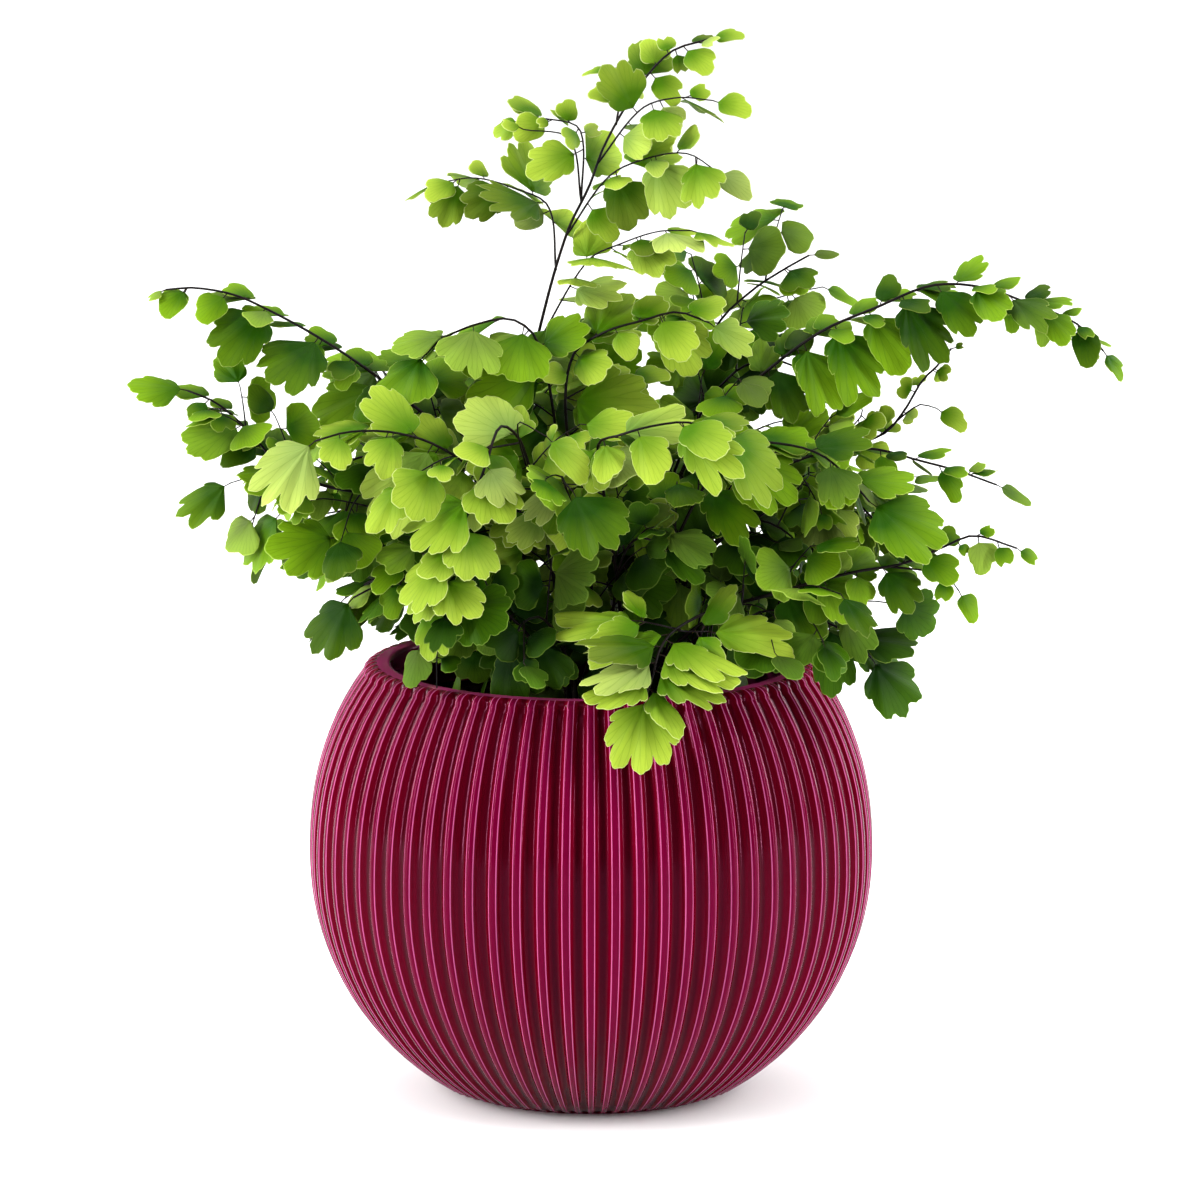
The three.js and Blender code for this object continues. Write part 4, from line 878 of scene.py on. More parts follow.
def stalk_leaves(stem, stalk, frond, draw, turn_noise):
    """Where the leaflets of a stalk start and how they stand, from the list of their lengths."""
    face = unit(np.array(frond["face"], float))
    face = unit(face + np.array([draw(), draw(), draw()]) * turn_noise)
    count = len(stalk["leaves"])
    bare = stalk["bare"]
    sag = TWIG_SAG if stem.kind == "twig" else frond.get("sag", SAG)
    wing = 0 if stem.kind == "twig" else frond["wing"]
    loose = 1 - ORDERLY * wing
    asked = []
    for i, signed in enumerate(stalk["leaves"]):
        last = i == count - 1
        share = bare + (1 - bare) * i / (count - 1) if count > 1 else 1
        place, heading, _ = stem.along(share)
        side = unit(np.cross(heading, face))
        wobble = [loose * draw() for _ in range(5)]
        aside = SIDE_ANGLE * (1 - FORWARD * i / count) + SWING_NOISE * wobble[0]
        turn = math.radians(0 if last else aside)
        mirror = math.copysign(1, signed)
        ahead = heading * math.cos(turn) + side * (mirror * math.sin(turn))
        ahead[2] -= sag * (1 + FORM_NOISE * wobble[1])
        ahead = unit(ahead)
        tipward = heading - ahead * np.dot(heading, ahead)
        normal = face + np.array(wobble[2:]) * FACE_NOISE
        if not last:
            normal = normal - unit(tipward) * SHINGLE
        normal = unit(normal - ahead * np.dot(normal, ahead))
        length = abs(signed) * LENGTHEN
        asked.append(dict(
            root=place, heading=ahead, normal=normal, length=length,
            wing=stalk.get("tip", tip_wing(length)) if last else wing, mirror=mirror, share=share,
            seed=math.floor((draw() + 1) * LEAF_SEEDS), last=last,
        ))
    return asked


def frond_stems(frond, order):
    """A frond's own stem, then its side stalks."""
    x, y = frond["root"]
    feet = [(x, y, SOIL_TOP - STEM_SINK), (x, y, SOIL_TOP + STEM_RADIUS)]
    path = [placed(*point) for point in frond["path"]]
    stem = Stem(feet + path, (STEM_RADIUS, STEM_TIP_RADIUS), THIN_STEM, order, "stem")
    stems = [stem]
    for spray in frond.get("sprays", []):
        start = stem.along(spray["start"])[0]
        path = [placed(*point) for point in spray["path"]]
        stalk = Stem([start] + path, (STALK_RADIUS, STALK_TIP_RADIUS), THIN_STALK, order, "stalk")
        stalk.slopes[0] = unit(stalk.knots[1] - start)
        stems.append(stalk)
    return stems


def between(pair, draw):
    """A random value between two."""
    return pair[0] + (pair[1] - pair[0]) * (draw() + 1) / 2


def twig_on(stem, share, side, frond, draw):
    """A short side stalk that leaves a stem to one side and arches a little."""
    start = stem.curve(share)
    _, heading, _ = stem.along(share)
    face = unit(np.array(frond["face"], float))
    sideways = np.cross(heading, face) * side
    lean = face * draw() * TWIG_LEAN
    ahead = heading * (TWIG_AHEAD + TWIG_AHEAD_NOISE * draw())
    out = unit(sideways + lean + ahead)
    length = between(TWIG_LENGTH, draw)
    middle = start + out * length / 2 + np.array([0, 0, TWIG_RISE * length])
    return Stem([start, middle, start + out * length], TWIG_RADII, THIN_TWIG, stem.frond, "twig")


def twig_lengths(twig, draw):
    """The lengths of a twig's leaflets, to its two sides in turn and the last one at its tip."""
    count = max(TWIG_LEAST_LEAVES, round(twig.length * TWIG_LEAFY_SHARE / TWIG_LEAF_EVERY))
    return [between(TWIG_LEAF, draw) * (-1) ** i for i in range(count)] + [between(TWIG_LEAF, draw)]


def leafy_stems(plant, order, frond):
    """Each of a frond's stems, together with the entry of the table that holds its leaflets."""
    own = [stem for stem in plant.stems if stem.frond == order]
    return zip(own, [frond] + frond.get("sprays", []))


def grow_plant():
    """The leaflets of the solids first, then the smallest ones, the second rows and the twigs."""
    plant = Plant()
    for order, frond in enumerate(FRONDS):
        for stem in frond_stems(frond, order):
            plant.add_stem(stem)
    left_over = []
    for order, frond in enumerate(FRONDS):
        draw = draws_from(FROND_SEED + order)
        for stem, held in leafy_stems(plant, order, frond):
            turn_noise = 0 if stem.kind == "stem" else SPRAY_NOISE
            asked = stalk_leaves(stem, held, frond, draw, turn_noise)
            for leaf in reversed(asked):
                small = leaf["length"] < SHORTEST and not leaf["last"]
                if small or not plant.settle(leaf, stem, leaf["share"]):
                    left_over.append((leaf, stem))
    for leaf, stem in left_over:
        plant.settle(leaf, stem, leaf["share"], small=True)
    add_second_rows(plant)
    add_twigs(plant)
    return plant


def add_second_rows(plant):
    """More leaflets between those of the table, on the other side of their stalks."""
    for order, frond in enumerate(FRONDS):
        draw = draws_from(SECOND_SEED + order)
        for stem, held in leafy_stems(plant, order, frond):
            lengths = [-signed * SECOND_SIZE for signed in held["leaves"][:-1]]
            run = (1 - held["bare"]) * stem.length
            if len(lengths) < 2 or run / len(lengths) < SECOND_ROOM:
                continue
            bare = held["bare"] + SECOND_SHIFT * (1 - held["bare"]) / len(lengths)
            row = dict(leaves=lengths, bare=bare)
            asked = stalk_leaves(stem, row, frond, draw, SECOND_TURN_NOISE)
            for leaf in reversed(asked[:-1]):
                heading = leaf["heading"]
                across = unit(np.cross(leaf["normal"], heading))
                normal = rotated(leaf["normal"], across, SECOND_LIFT)
                leaf["normal"] = normal
                leaf["heading"] = unit(heading - normal * np.dot(heading, normal))
                plant.settle(leaf, stem, leaf["share"], small=True)


def add_twigs(plant):
    """Twigs along each frond's own stem, to its two sides in turn, where there is room for them."""
    for turn in range(TWIG_ROUNDS):
        for order, frond in enumerate(FRONDS):
            draw = draws_from(TWIG_SEED + TWIG_ROUND_SEEDS * turn + order)
            stem = next(stem for stem in plant.stems if stem.frond == order)
            far = (TWIG_FROM + TWIG_ROUND_SHIFT * turn) * stem.length
            side = 1
            while far < TWIG_TO * stem.length:
                twig = twig_on(stem, far / stem.length, side, frond, draw)
                lengths = twig_lengths(twig, draw)
                far += TWIG_EVERY * (1 + TWIG_SPACING_NOISE * draw())
                side = -side
                inside = how_deep(twig.knots[0]) > frond.get("twig_depth", TWIG_DEPTH)
                if inside and plant.is_free(twig):
                    row = dict(leaves=lengths, bare=TWIG_BARE)
                    asked = stalk_leaves(twig, row, frond, draw, TWIG_TURN_NOISE)
                    grown = [plant.settle(leaf, twig, leaf["share"], small=True) for leaf in asked]
                    if any(grown):
                        plant.add_stem(twig)


class Builder:
    """Gathers points, faces and what each point carries, for one mesh object."""

    def __init__(self):
        self.points = []
        self.faces = []
        self.places = []
        self.looks = []
        self.count = 0

    def add(self, points, faces, places, looks):
        """places are the points' two surface coordinates, and looks the four values a material reads."""
        self.points.append(points)
        self.places.append(places)
        self.looks.append(looks)
        self.faces.extend([tuple(int(i) + self.count for i in face) for face in faces])
        self.count += len(points)

    def object(self, name, material, slot, replaces):
        """The mesh as an object that rides on the plant, in place of the CAD node it replaces; slot is not
        used.
        """
        mesh = bpy.data.meshes.new(name)
        points = np.vstack(self.points) * METRES
        mesh.from_pydata(points.tolist(), [], self.faces)
        corners = np.zeros(len(mesh.loops), np.int32)
        mesh.loops.foreach_get("vertex_index", corners)
        places = np.vstack(self.places)[corners]
        layer = mesh.uv_layers.new(name="places")
        layer.data.foreach_set("uv", places.astype(np.float32).ravel())
        looks = mesh.attributes.new("looks", "FLOAT_COLOR", "POINT")
        looks.data.foreach_set("color", np.vstack(self.looks).astype(np.float32).ravel())
        mesh.polygons.foreach_set("use_smooth", np.ones(len(mesh.polygons), bool))
        mesh.materials.append(material)
        mesh.update()
        made = bpy.data.objects.new(name, mesh)
        bpy.context.scene.collection.objects.link(made)
        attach(made, "root")
        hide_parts(replaces)


def grid_faces(rows, columns, first=0, closed=False, flip=False):
    """The faces of a grid of points, row after row, which may close round its columns."""
    faces = []
    across = columns if closed else columns - 1
    for row in range(rows - 1):
        for column in range(across):
            a = first + row * columns + column
            b = first + row * columns + (column + 1) % columns
            corners = (a, b, b + columns, a + columns)
            faces.append(corners[::-1] if flip else corners)
    return faces


def add_tube(builder, line, radii, sides, looks):
    """A round closed rod along a line of points."""
    line = np.array(line)
    headings = np.gradient(line, axis=0)
    headings /= np.linalg.norm(headings, axis=1)[:, None]
    across = unit(np.cross(headings[0], ROD_ASIDE))
    rings = []
    angles = np.arange(sides) * 2 * math.pi / sides
    for place, heading, radius in zip(line, headings, radii):
        across = unit(across - heading * np.dot(across, heading))
        over = np.cross(heading, across)
        rings.append(place + radius * (np.cos(angles)[:, None] * across + np.sin(angles)[:, None] * over))
    points = np.vstack(rings)
    faces = grid_faces(len(line), sides, closed=True)
    faces.append(tuple(range(sides - 1, -1, -1)))
    faces.append(tuple(range(len(points) - sides, len(points))))
    along = np.repeat(np.linspace(0, 1, len(line)), sides)
    round_it = np.tile(np.arange(sides) / sides, len(line))
    builder.add(points, faces, np.column_stack([round_it, along]), np.tile(looks, (len(points), 1)))


def add_stem_tube(builder, stem):
    """A stem, thinner than that of the solids, tapered to its tip."""
    main = stem.kind == "stem"
    count = max(LEAST_RUNS, math.ceil(stem.length / (STEM_RUN if main else STALK_RUN)))
    shares = np.linspace(0, 1, count + 1)
    line = [stem.curve(share) for share in shares]
    root, tip = stem.thin
    radii = root + (tip - root) * shares ** TAPER_POWER
    add_tube(builder, line, radii, STEM_SIDES if main else STALK_SIDES, (0, 0, 0, 1))


def add_petiole(builder, leaf):
    """The hair-thin stalk between a stem and the point of the fan."""
    end = leaf.root + leaf.heading * (leaf.neck + PETIOLE_INTO_FAN)
    middle = (leaf.foot + end) / 2 - leaf.heading * PETIOLE_BEND * leaf.neck
    shares = np.linspace(0, 1, PETIOLE_POINTS)[:, None]
    line = leaf.foot * (1 - shares) ** 2 + 2 * middle * shares * (1 - shares) + end * shares ** 2
    radii = PETIOLE[0] + (PETIOLE[1] - PETIOLE[0]) * shares[:, 0]
    add_tube(builder, line, radii, PETIOLE_SIDES, (1, 0, 0, 1))


def lobe_count(leaf):
    """How many lobes a leaflet's finer outline has, more than its plain form in the solids."""
    more = 2 if leaf.length > THREE_LOBES_FROM else 1 if leaf.length > SECOND_LOBE_FROM else 0
    return leaf.lobes + more


def column_count(leaf):
    """How many points a leaflet has along its outline."""
    if leaf.length > FINE_FROM:
        each = FINE_COLUMNS
    elif leaf.length > MIDDLING_FROM:
        each = MIDDLING_COLUMNS
    else:
        each = SMALL_COLUMNS
    return lobe_count(leaf) * each + 1


def fine_edge(leaf, share):
    """The outline's reach with its lobes and teeth, as a share of the plain outline's."""
    first, second = leaf.looks
    turn = 2 * math.pi * share
    shifted = share + LOBE_SHIFT * (first * np.sin(turn) + second * np.sin(2 * turn))
    turns = math.pi * lobe_count(leaf) * shifted
    lobe = np.abs(np.sin(turns))
    teeth = np.abs(np.sin(turns * TEETH_PER_LOBE))
    inner = np.sin(math.pi * share) ** SIDE_NOTCH_POWER
    corner = CORNER * (1 - np.sqrt(1 - np.abs(2 * share - 1) ** CORNER_POWER))
    notch = NOTCH * (1 - lobe ** NOTCH_SHARP) + LOBE_ROUND * (1 - lobe)
    return 1 - leaf.notch * notch * inner - TOOTH * (1 - teeth) - corner


def leaf_sheet(rows, columns, mirror):
    """The faces of a fan whose first point is its foot, and the edges round it."""
    sheet = [(0, 1 + i, 2 + i) for i in range(columns - 1)]
    sheet += grid_faces(rows, columns, first=1, flip=True)
    last = 1 + (rows - 1) * columns
    left = [0] + [1 + row * columns for row in range(rows)]
    right = [0] + [row * columns for row in range(1, rows + 1)]
    rim = list(zip(left[1:], left[:-1])) + list(zip(right[:-1], right[1:]))
    rim += [(last + i + 1, last + i) for i in range(columns - 1)]
    if mirror < 0:
        sheet = [face[::-1] for face in sheet]
        rim = [(b, a) for a, b in rim]
    return sheet, rim


def leaf_tint(leaf, shape):
    """What a leaflet's points carry: its tint, lowered deep inside the plant as painted shade, how old it
    is, the margin's painted highlight and the upper face.
    """
    # Where the painted highlight lies along a leaflet's rim.
    rim_highlight = np.zeros(shape)
    rim_highlight[-1] = 1
    rim_highlight[2:, [0, -1]] = SIDE_RIM_HIGHLIGHT
    rim_highlight = np.concatenate([[0], rim_highlight.ravel()])
    first, second = leaf.looks
    # Deep inside the plant a leaflet's tint is lowered: painted shade.
    tint_and_inner_shade = (first / 2 + 0.5) * (1 - INNER_SHADE_FADE * how_deep(leaf.root))
    age = second / 2 + 0.5
    return np.column_stack([
        np.full(len(rim_highlight), tint_and_inner_shade), np.full(len(rim_highlight), age), rim_highlight, np.ones(len(rim_highlight)),
    ])


def add_leaf(builder, leaf):
    """A leaflet as a thin closed blade, with rows of points out from the point of its fan."""
    columns = column_count(leaf)
    share = np.arange(columns) / (columns - 1)
    angle = leaf.start + (leaf.end - leaf.start) * share
    outline = leaf.far(angle) * fine_edge(leaf, share)
    inner = np.maximum(outline - MARGIN, MARGIN_FROM * outline)
    parts = THREE_ROWS if leaf.length < FOUR_ROWS_FROM else FOUR_ROWS
    far = np.array([outline * part for part in parts] + [inner, outline])
    rows = len(far)
    parts = far / leaf.reach
    share = np.tile(share, (rows, 1))
    angle = np.tile(angle, (rows, 1))
    lobes = lobe_count(leaf)
    wave = WAVE * leaf.length * parts ** 2 * np.sin(2 * math.pi * (lobes * share + leaf.looks[0]))
    middle = leaf.point(angle, far, share) + wave[..., None] * leaf.normal
    thick = np.ones(rows)
    thick[-1] = RIM_THICKNESS
    rise = (thick * BLADE / 2)[:, None, None] * leaf.normal
    foot = leaf.root + leaf.heading * (leaf.neck - FOOT_INTO_NECK)
    foot_rise = leaf.normal * BLADE / 2
    above = np.vstack([foot + foot_rise, (middle + rise).reshape(-1, 3)])
    below = np.vstack([foot - foot_rise, (middle - rise).reshape(-1, 3)])
    count = len(above)
    sheet, rim = leaf_sheet(rows, columns, leaf.mirror)
    faces = list(sheet)
    faces += [tuple(i + count for i in face[::-1]) for face in sheet]
    faces += [(a, b, b + count, a + count) for a, b in rim]
    places = np.vstack([[0.5, 0], np.column_stack([share.ravel(), parts.ravel()])])
    tint = leaf_tint(leaf, far.shape)
    under = tint.copy()
    under[:, 3] = 0
    builder.add(
        np.vstack([above, below]), faces, np.vstack([places, places]), np.vstack([tint, under]),
    )


def how_deep(place):
    """How far inside the plant a place is, from 0 at its outside to 1 over the soil."""
    low = 1 - smooth_step(*DEEP_HEIGHTS, place[2])
    inside = 1 - smooth_step(*DEEP_RADII, math.hypot(place[0], place[1]))
    return low * inside


def ridge_distance(phase):
    """How far a place across the ribs is from the nearest ridge, at most 0.5."""
    return np.abs((phase + 0.5) % 1 - 0.5)


def rib_profile(from_ridge):
    """How deep the pot's face lies, from 0 on a ridge to about 1 in a groove."""
    dome = np.clip(from_ridge / RIDGE_HALF, 0, 1) ** RIDGE_POWER
    groove = np.sin(math.pi * smooth_step(GROOVE_FROM, 1 - GROOVE_FROM, from_ridge))
    return (1 - GROOVE_ROUNDING) * dome + GROOVE_ROUNDING * groove


def outside_rings():
    """The pot's outside, from the middle of its underside to its shoulder."""
    base = pot_radius_at(0)
    rings = [(CENTRE, 0, 0), (FOOT_FLAT_RADIUS, 0, 0)]
    rings += [(base - inset, z, rib) for inset, z, rib in FOOT_RINGS]
    for z in np.concatenate([LOWER_RINGS, UPPER_RINGS]):
        grown = min(1, RIB_SHARE_AT_FOOT + z / RIB_GROWS_OVER)
        rings.append((pot_radius_at(z), z, RIB_DEPTH * grown))
    rings += [(pot_radius_at(z), z, RIB_DEPTH) for z in TOP_RINGS]
    return rings


def rim_rings():
    """The pot's shoulder, where the ribs run out, its flat rim and its rounded lip."""
    rings = []
    shoulder = pot_radius_at(SHOULDER_FROM)
    for step in range(SHOULDER_STEPS):
        part = step / (SHOULDER_STEPS - 1)
        angle = math.radians(90 * part)
        radius = RIM_FLAT_RADIUS + (shoulder - RIM_FLAT_RADIUS) * math.cos(angle)
        z = SHOULDER_FROM + (POT_HEIGHT - SHOULDER_FROM) * math.sin(angle)
        rings.append((radius, z, RIB_DEPTH * (1 - part ** 3) * (1 - SHOULDER_FADE * part)))
    rings += [(MOUTH_RADIUS + beyond, POT_HEIGHT, 0) for beyond in RIM_RINGS]
    for step in range(LIP_STEPS):
        angle = math.radians(90 * step / (LIP_STEPS - 1))
        radius = MOUTH_RADIUS + LIP_ROUND * (1 - math.sin(angle))
        rings.append((radius, POT_HEIGHT - LIP_ROUND * (1 - math.cos(angle)), 0))
    return rings


def inside_rings():
    """The pot's inside, from its mouth down to the middle of its floor."""
    rings = [(MOUTH_RADIUS, z, 0) for z in MOUTH_RINGS]
    rings += [(pot_radius_at(z) - WALL, z, 0) for z in INSIDE_RINGS]
    corner = pot_radius_at(FLOOR) - WALL - FLOOR_INSET
    rings += [(corner, FLOOR, 0), (FLOOR_MIDDLE, FLOOR, 0)]
    rings.append((CENTRE, FLOOR, 0))
    return rings


def make_pot(material):
    """The pot as one closed mesh of rings, each with a radius, a height and a rib depth."""
    sides = RIBS * len(RIB_POINTS)
    phase = np.concatenate([np.array(RIB_POINTS) + rib for rib in range(RIBS)])
    angle = phase * 2 * math.pi / RIBS
    from_ridge = ridge_distance(phase)
    depth = rib_profile(from_ridge)
    rings = outside_rings() + rim_rings() + inside_rings()
    points = []
    looks = []
    for radius, z, rib in rings:
        reach = radius - rib * depth
        points.append(np.column_stack([reach * np.cos(angle), reach * np.sin(angle), np.full(sides, z)]))
        ribbed = np.full(sides, rib / RIB_DEPTH)
        looks.append(np.column_stack([ribbed, from_ridge, np.zeros(sides), np.ones(sides)]))
    faces = grid_faces(len(rings), sides, closed=True)
    faces.append(tuple(range(sides - 1, -1, -1)))
    faces.append(tuple(range((len(rings) - 1) * sides, len(rings) * sides)))
    along = np.repeat(np.linspace(0, 1, len(rings)), sides)
    places = np.column_stack([np.tile(phase / RIBS, len(rings)), along])
    builder = Builder()
    builder.add(np.vstack(points), faces, places, np.vstack(looks))
    builder.object("pot_glazed", material, "pot", replaces="pot")


def soil_rise(x, y):
    """How far the uneven top of the soil stands over its middle height."""
    rise = -SOIL_DIP
    for height, width, which in SOIL_WAVES:
        rise += height * noise.noise(Vector((x / width, y / width, which)))
    return rise


def make_soil(material):
    """The soil's body with an uneven top, and crumbs that lie half sunk in it."""
    edge = pot_radius_at(SOIL_TOP) - WALL - 3 * SOIL_GAP
    angle = np.arange(SOIL_SIDES) * 2 * math.pi / SOIL_SIDES
    profile = [(CENTRE, SOIL_TOP)] + [(edge * part, SOIL_TOP) for part in SOIL_TOP_RINGS]
    profile += [(pot_radius_at(z) - WALL - SOIL_GAP, z) for z in SOIL_SIDE_RINGS]
    bottom = FLOOR + SOIL_GAP
    profile += [(pot_radius_at(FLOOR) - WALL - SOIL_FLOOR_INSET, bottom), (CENTRE, bottom)]
    points = []
    for radius, height in profile:
        x = radius * np.cos(angle)
        y = radius * np.sin(angle)
        z = np.full(SOIL_SIDES, float(height))
        if height == SOIL_TOP:
            z += np.array([soil_rise(a, b) for a, b in zip(x, y)])
        points.append(np.column_stack([x, y, z]))
    faces = grid_faces(len(profile), SOIL_SIDES, closed=True, flip=True)
    faces.append(tuple(range(SOIL_SIDES)))
    count = len(profile) * SOIL_SIDES
    faces.append(tuple(range(count - 1, count - SOIL_SIDES - 1, -1)))
    points = np.vstack(points)
    places = np.column_stack([points[:, 0], points[:, 1]]) / edge
    builder = Builder()
    builder.add(points, faces, places, np.tile((SOIL_SHADE, 0, 0, 1), (len(points), 1)))
    draw = draws_from(CRUMB_SEED)
    for _ in range(CRUMBS):
        add_crumb(builder, draw, edge - CRUMB_ROOM)
    builder.object("soil_crumbly", material, "soil", replaces="soil")


def crumb_corners():
    """The twelve corners of an icosahedron of radius 1."""
    golden = (1 + math.sqrt(5)) / 2
    corners = []
    for a in (-1, 1):
        for b in (-golden, golden):
            corners += [(0, a, b), (a, b, 0), (b, 0, a)]
    return np.array(corners, float) / math.hypot(1, golden)


def crumb_faces(corners, stretch, reach):
    """Faces between all corners that lie within reach before stretching, seen the right way round."""
    plain = corners / stretch
    faces = []
    for i, j, k in itertools.combinations(range(len(corners)), 3):
        sides = [np.linalg.norm(plain[a] - plain[b]) for a, b in ((i, j), (j, k), (i, k))]
        if max(sides) < reach:
            out = np.dot(np.cross(corners[j] - corners[i], corners[k] - corners[i]), corners[i])
            faces.append((i, j, k) if out > 0 else (i, k, j))
    return faces


def add_crumb(builder, draw, edge):
    """One crumb of soil: a small uneven lump somewhere on the soil's top."""
    far = edge * math.sqrt((draw() + 1) / 2)
    turn = math.pi * draw()
    x = far * math.cos(turn)
    y = far * math.sin(turn)
    least, most = CRUMB_SIZE
    size = least + (most - least) * ((draw() + 1) / 2) ** 2
    corners = crumb_corners()
    stretch = 1 + CRUMB_STRETCH * np.array([draw(), draw(), CRUMB_FLATTER * draw()])
    corners = corners * stretch * size * np.array([[1 + CRUMB_UNEVEN * draw()] for _ in corners])
    faces = crumb_faces(corners, stretch, CRUMB_REACH * size)
    shade = (draw() + 1) / 2
    points = corners + np.array([x, y, SOIL_TOP + soil_rise(x, y) + CRUMB_LIFT * size])
    count = len(points)
    builder.add(points, faces, np.zeros((count, 2)), np.tile((shade, 0, 0, 1), (count, 1)))


class Nodes:
    """Short ways to write a material's nodes."""

    def __init__(self, name):
        self.material = bpy.data.materials.new(name)
        self.material.use_nodes = True
        self.tree = self.material.node_tree
        self.shader = self.tree.nodes["Principled BSDF"]
        self.output = self.tree.nodes["Material Output"]

    def make(self, kind, **settings):
        """A new node of a kind."""
        node = self.tree.nodes.new(kind)
        for key, value in settings.items():
            setattr(node, key, value)
        return node

    def link(self, source, target):
        """Leads a socket, or sets a plain value, into a target socket."""
        if isinstance(source, bpy.types.NodeSocket):
            self.tree.links.new(source, target)
        else:
            target.default_value = source

    def math(self, operation, a, b=None, c=None):
        """A sum, a product or the like of values and sockets."""
        node = self.make("ShaderNodeMath", operation=operation)
        for value, socket in zip((a, b, c), node.inputs):
            if value is not None:
                self.link(value, socket)
        return node.outputs[0]

    def times(self, a, b):
        """The product of two."""
        return self.math("MULTIPLY", a, b)

    def step(self, low, high, value):
        """A smooth way from 0 where the value is low to 1 where it is high."""
        node = self.make("ShaderNodeMapRange", interpolation_type="SMOOTHSTEP")
        self.link(value, node.inputs["Value"])
        self.link(low, node.inputs["From Min"])
        self.link(high, node.inputs["From Max"])
        return node.outputs["Result"]

    def mix(self, share, a, b):
        """Colour a with a share of colour b."""
        node = self.make("ShaderNodeMix", data_type="RGBA")
        self.link(share, node.inputs["Factor"])
        self.link(a, node.inputs["A"])
        self.link(b, node.inputs["B"])
        return node.outputs["Result"]

    def looks(self):
        """The four values that each point of the mesh carries."""
        node = self.make("ShaderNodeAttribute", attribute_name="looks")
        parts = self.make("ShaderNodeSeparateColor")
        self.link(node.outputs["Color"], parts.inputs["Color"])
        red, green, blue = (parts.outputs[name] for name in ("Red", "Green", "Blue"))
        return red, green, blue, node.outputs["Alpha"]

    def noise(self, scale, detail, roughness):
        """Soft uneven patches, as many to a metre as its scale."""
        where = self.make("ShaderNodeTexCoord").outputs["Object"]
        node = self.make("ShaderNodeTexNoise")
        self.link(where, node.inputs["Vector"])
        self.link(scale, node.inputs["Scale"])
        self.link(detail, node.inputs["Detail"])
        self.link(roughness, node.inputs["Roughness"])
        return node.outputs["Fac"]

    def bump(self, height, strength, distance):
        """Lets a height show on the shader's surface."""
        node = self.make("ShaderNodeBump")
        self.link(height, node.inputs["Height"])
        self.link(strength, node.inputs["Strength"])
        self.link(distance, node.inputs["Distance"])
        self.link(node.outputs["Normal"], self.shader.inputs["Normal"])
        return node.outputs["Normal"]

    def set(self, **values):
        """Sets the shader's own sockets, named in plain words."""
        for key, value in values.items():
            self.link(value, self.shader.inputs[key.replace("_", " ")])


def colour(shown):
    """A colour given in 0 to 255, as screens show it, made linear."""
    parts = [part / 255 for part in shown]
    linear = [((part + 0.055) / 1.055) ** 2.4 if part > 0.04045 else part / 12.92 for part in parts]
    return (*linear, 1)


# The veins of a leaflet: how many start from its foot, and where they fork on their way out, each
# time as a shift to the side between two shares of the way.
VEINS = 5
VEIN_FORKS = ((0.25, 0.05, 0.4), (0.125, 0.35, 0.7), (0.0625, 0.62, 0.98))
VEIN_WIDTH = 0.018
VEIN_WIDEST_AT = 0.12


def vein_lines(nodes, across, out):
    """How near a point of the fan is to a vein."""
    spread = nodes.times(across, VEINS)
    from_middle = nodes.math("SUBTRACT", nodes.math("FRACT", spread), 0.5)
    place = nodes.math("ABSOLUTE", from_middle)
    for shift, low, high in VEIN_FORKS:
        moved = nodes.times(nodes.step(low, high, out), shift)
        place = nodes.math("ABSOLUTE", nodes.math("SUBTRACT", place, moved))
    width = nodes.math("DIVIDE", VEIN_WIDTH, nodes.math("MAXIMUM", out, VEIN_WIDEST_AT))
    return nodes.math("SUBTRACT", 1, nodes.step(0, width, place))


# edge is the pale colour that old leaflets turn towards, and that the painted highlight along the rim
# uses.
LEAF_COLOURS = {
    "light": dict(deep=(76, 122, 4), bright=(174, 198, 62), edge=(222, 230, 150), under=(128, 166, 42)),
    "mid": dict(deep=(42, 88, 0), bright=(124, 164, 20), edge=(190, 212, 98), under=(88, 128, 22)),
    "dark": dict(deep=(14, 46, 0), bright=(70, 112, 6), edge=(140, 172, 66), under=(52, 88, 10)),
}
# A near-black green, painted shade for leaflets of the lowest tint.
INNER_SHADE_COLOUR = (12, 38, 0)
LEAF_PATCHES = dict(scale=70, detail=4, roughness=0.55)

# How a leaflet goes from its deep to its bright colour: along the fan, by its own tint, lowered deep
# inside the plant as painted shade, by patches.
BRIGHT_RANGE = (0.05, 0.95)
BRIGHT_SHARE = 0.8
BRIGHT_START = -0.22
TINT_SHARE = 0.42
PATCH_SHARE = 0.5

# What lies over that, as the range over which it sets in and its most.
AGE_RANGE = (0.72, 1)
AGE_SHARE = 0.3
VEIN_SHARE = 0.26
# The pale margin is a painted highlight, where light catches and shines through the thin rim.
RIM_HIGHLIGHT_RANGE = (0.25, 1)
RIM_HIGHLIGHT_SHARE = 0.6
UNDER_SHARE = 0.35
# Painted shade: leaflets of the lowest tint, lowered deep inside the plant, turn towards a near-black
# green.
INNER_SHADE_RANGE = (0, 0.3)
INNER_SHADE_SHARE = 0.6

# The relief of a leaflet's face, and how much of its light comes through from behind.
VEIN_RELIEF = -0.4
PATCH_RELIEF = 0.7
LEAF_BUMP = dict(strength=0.3, distance=0.0004)
LEAF_GLOW = 0.3


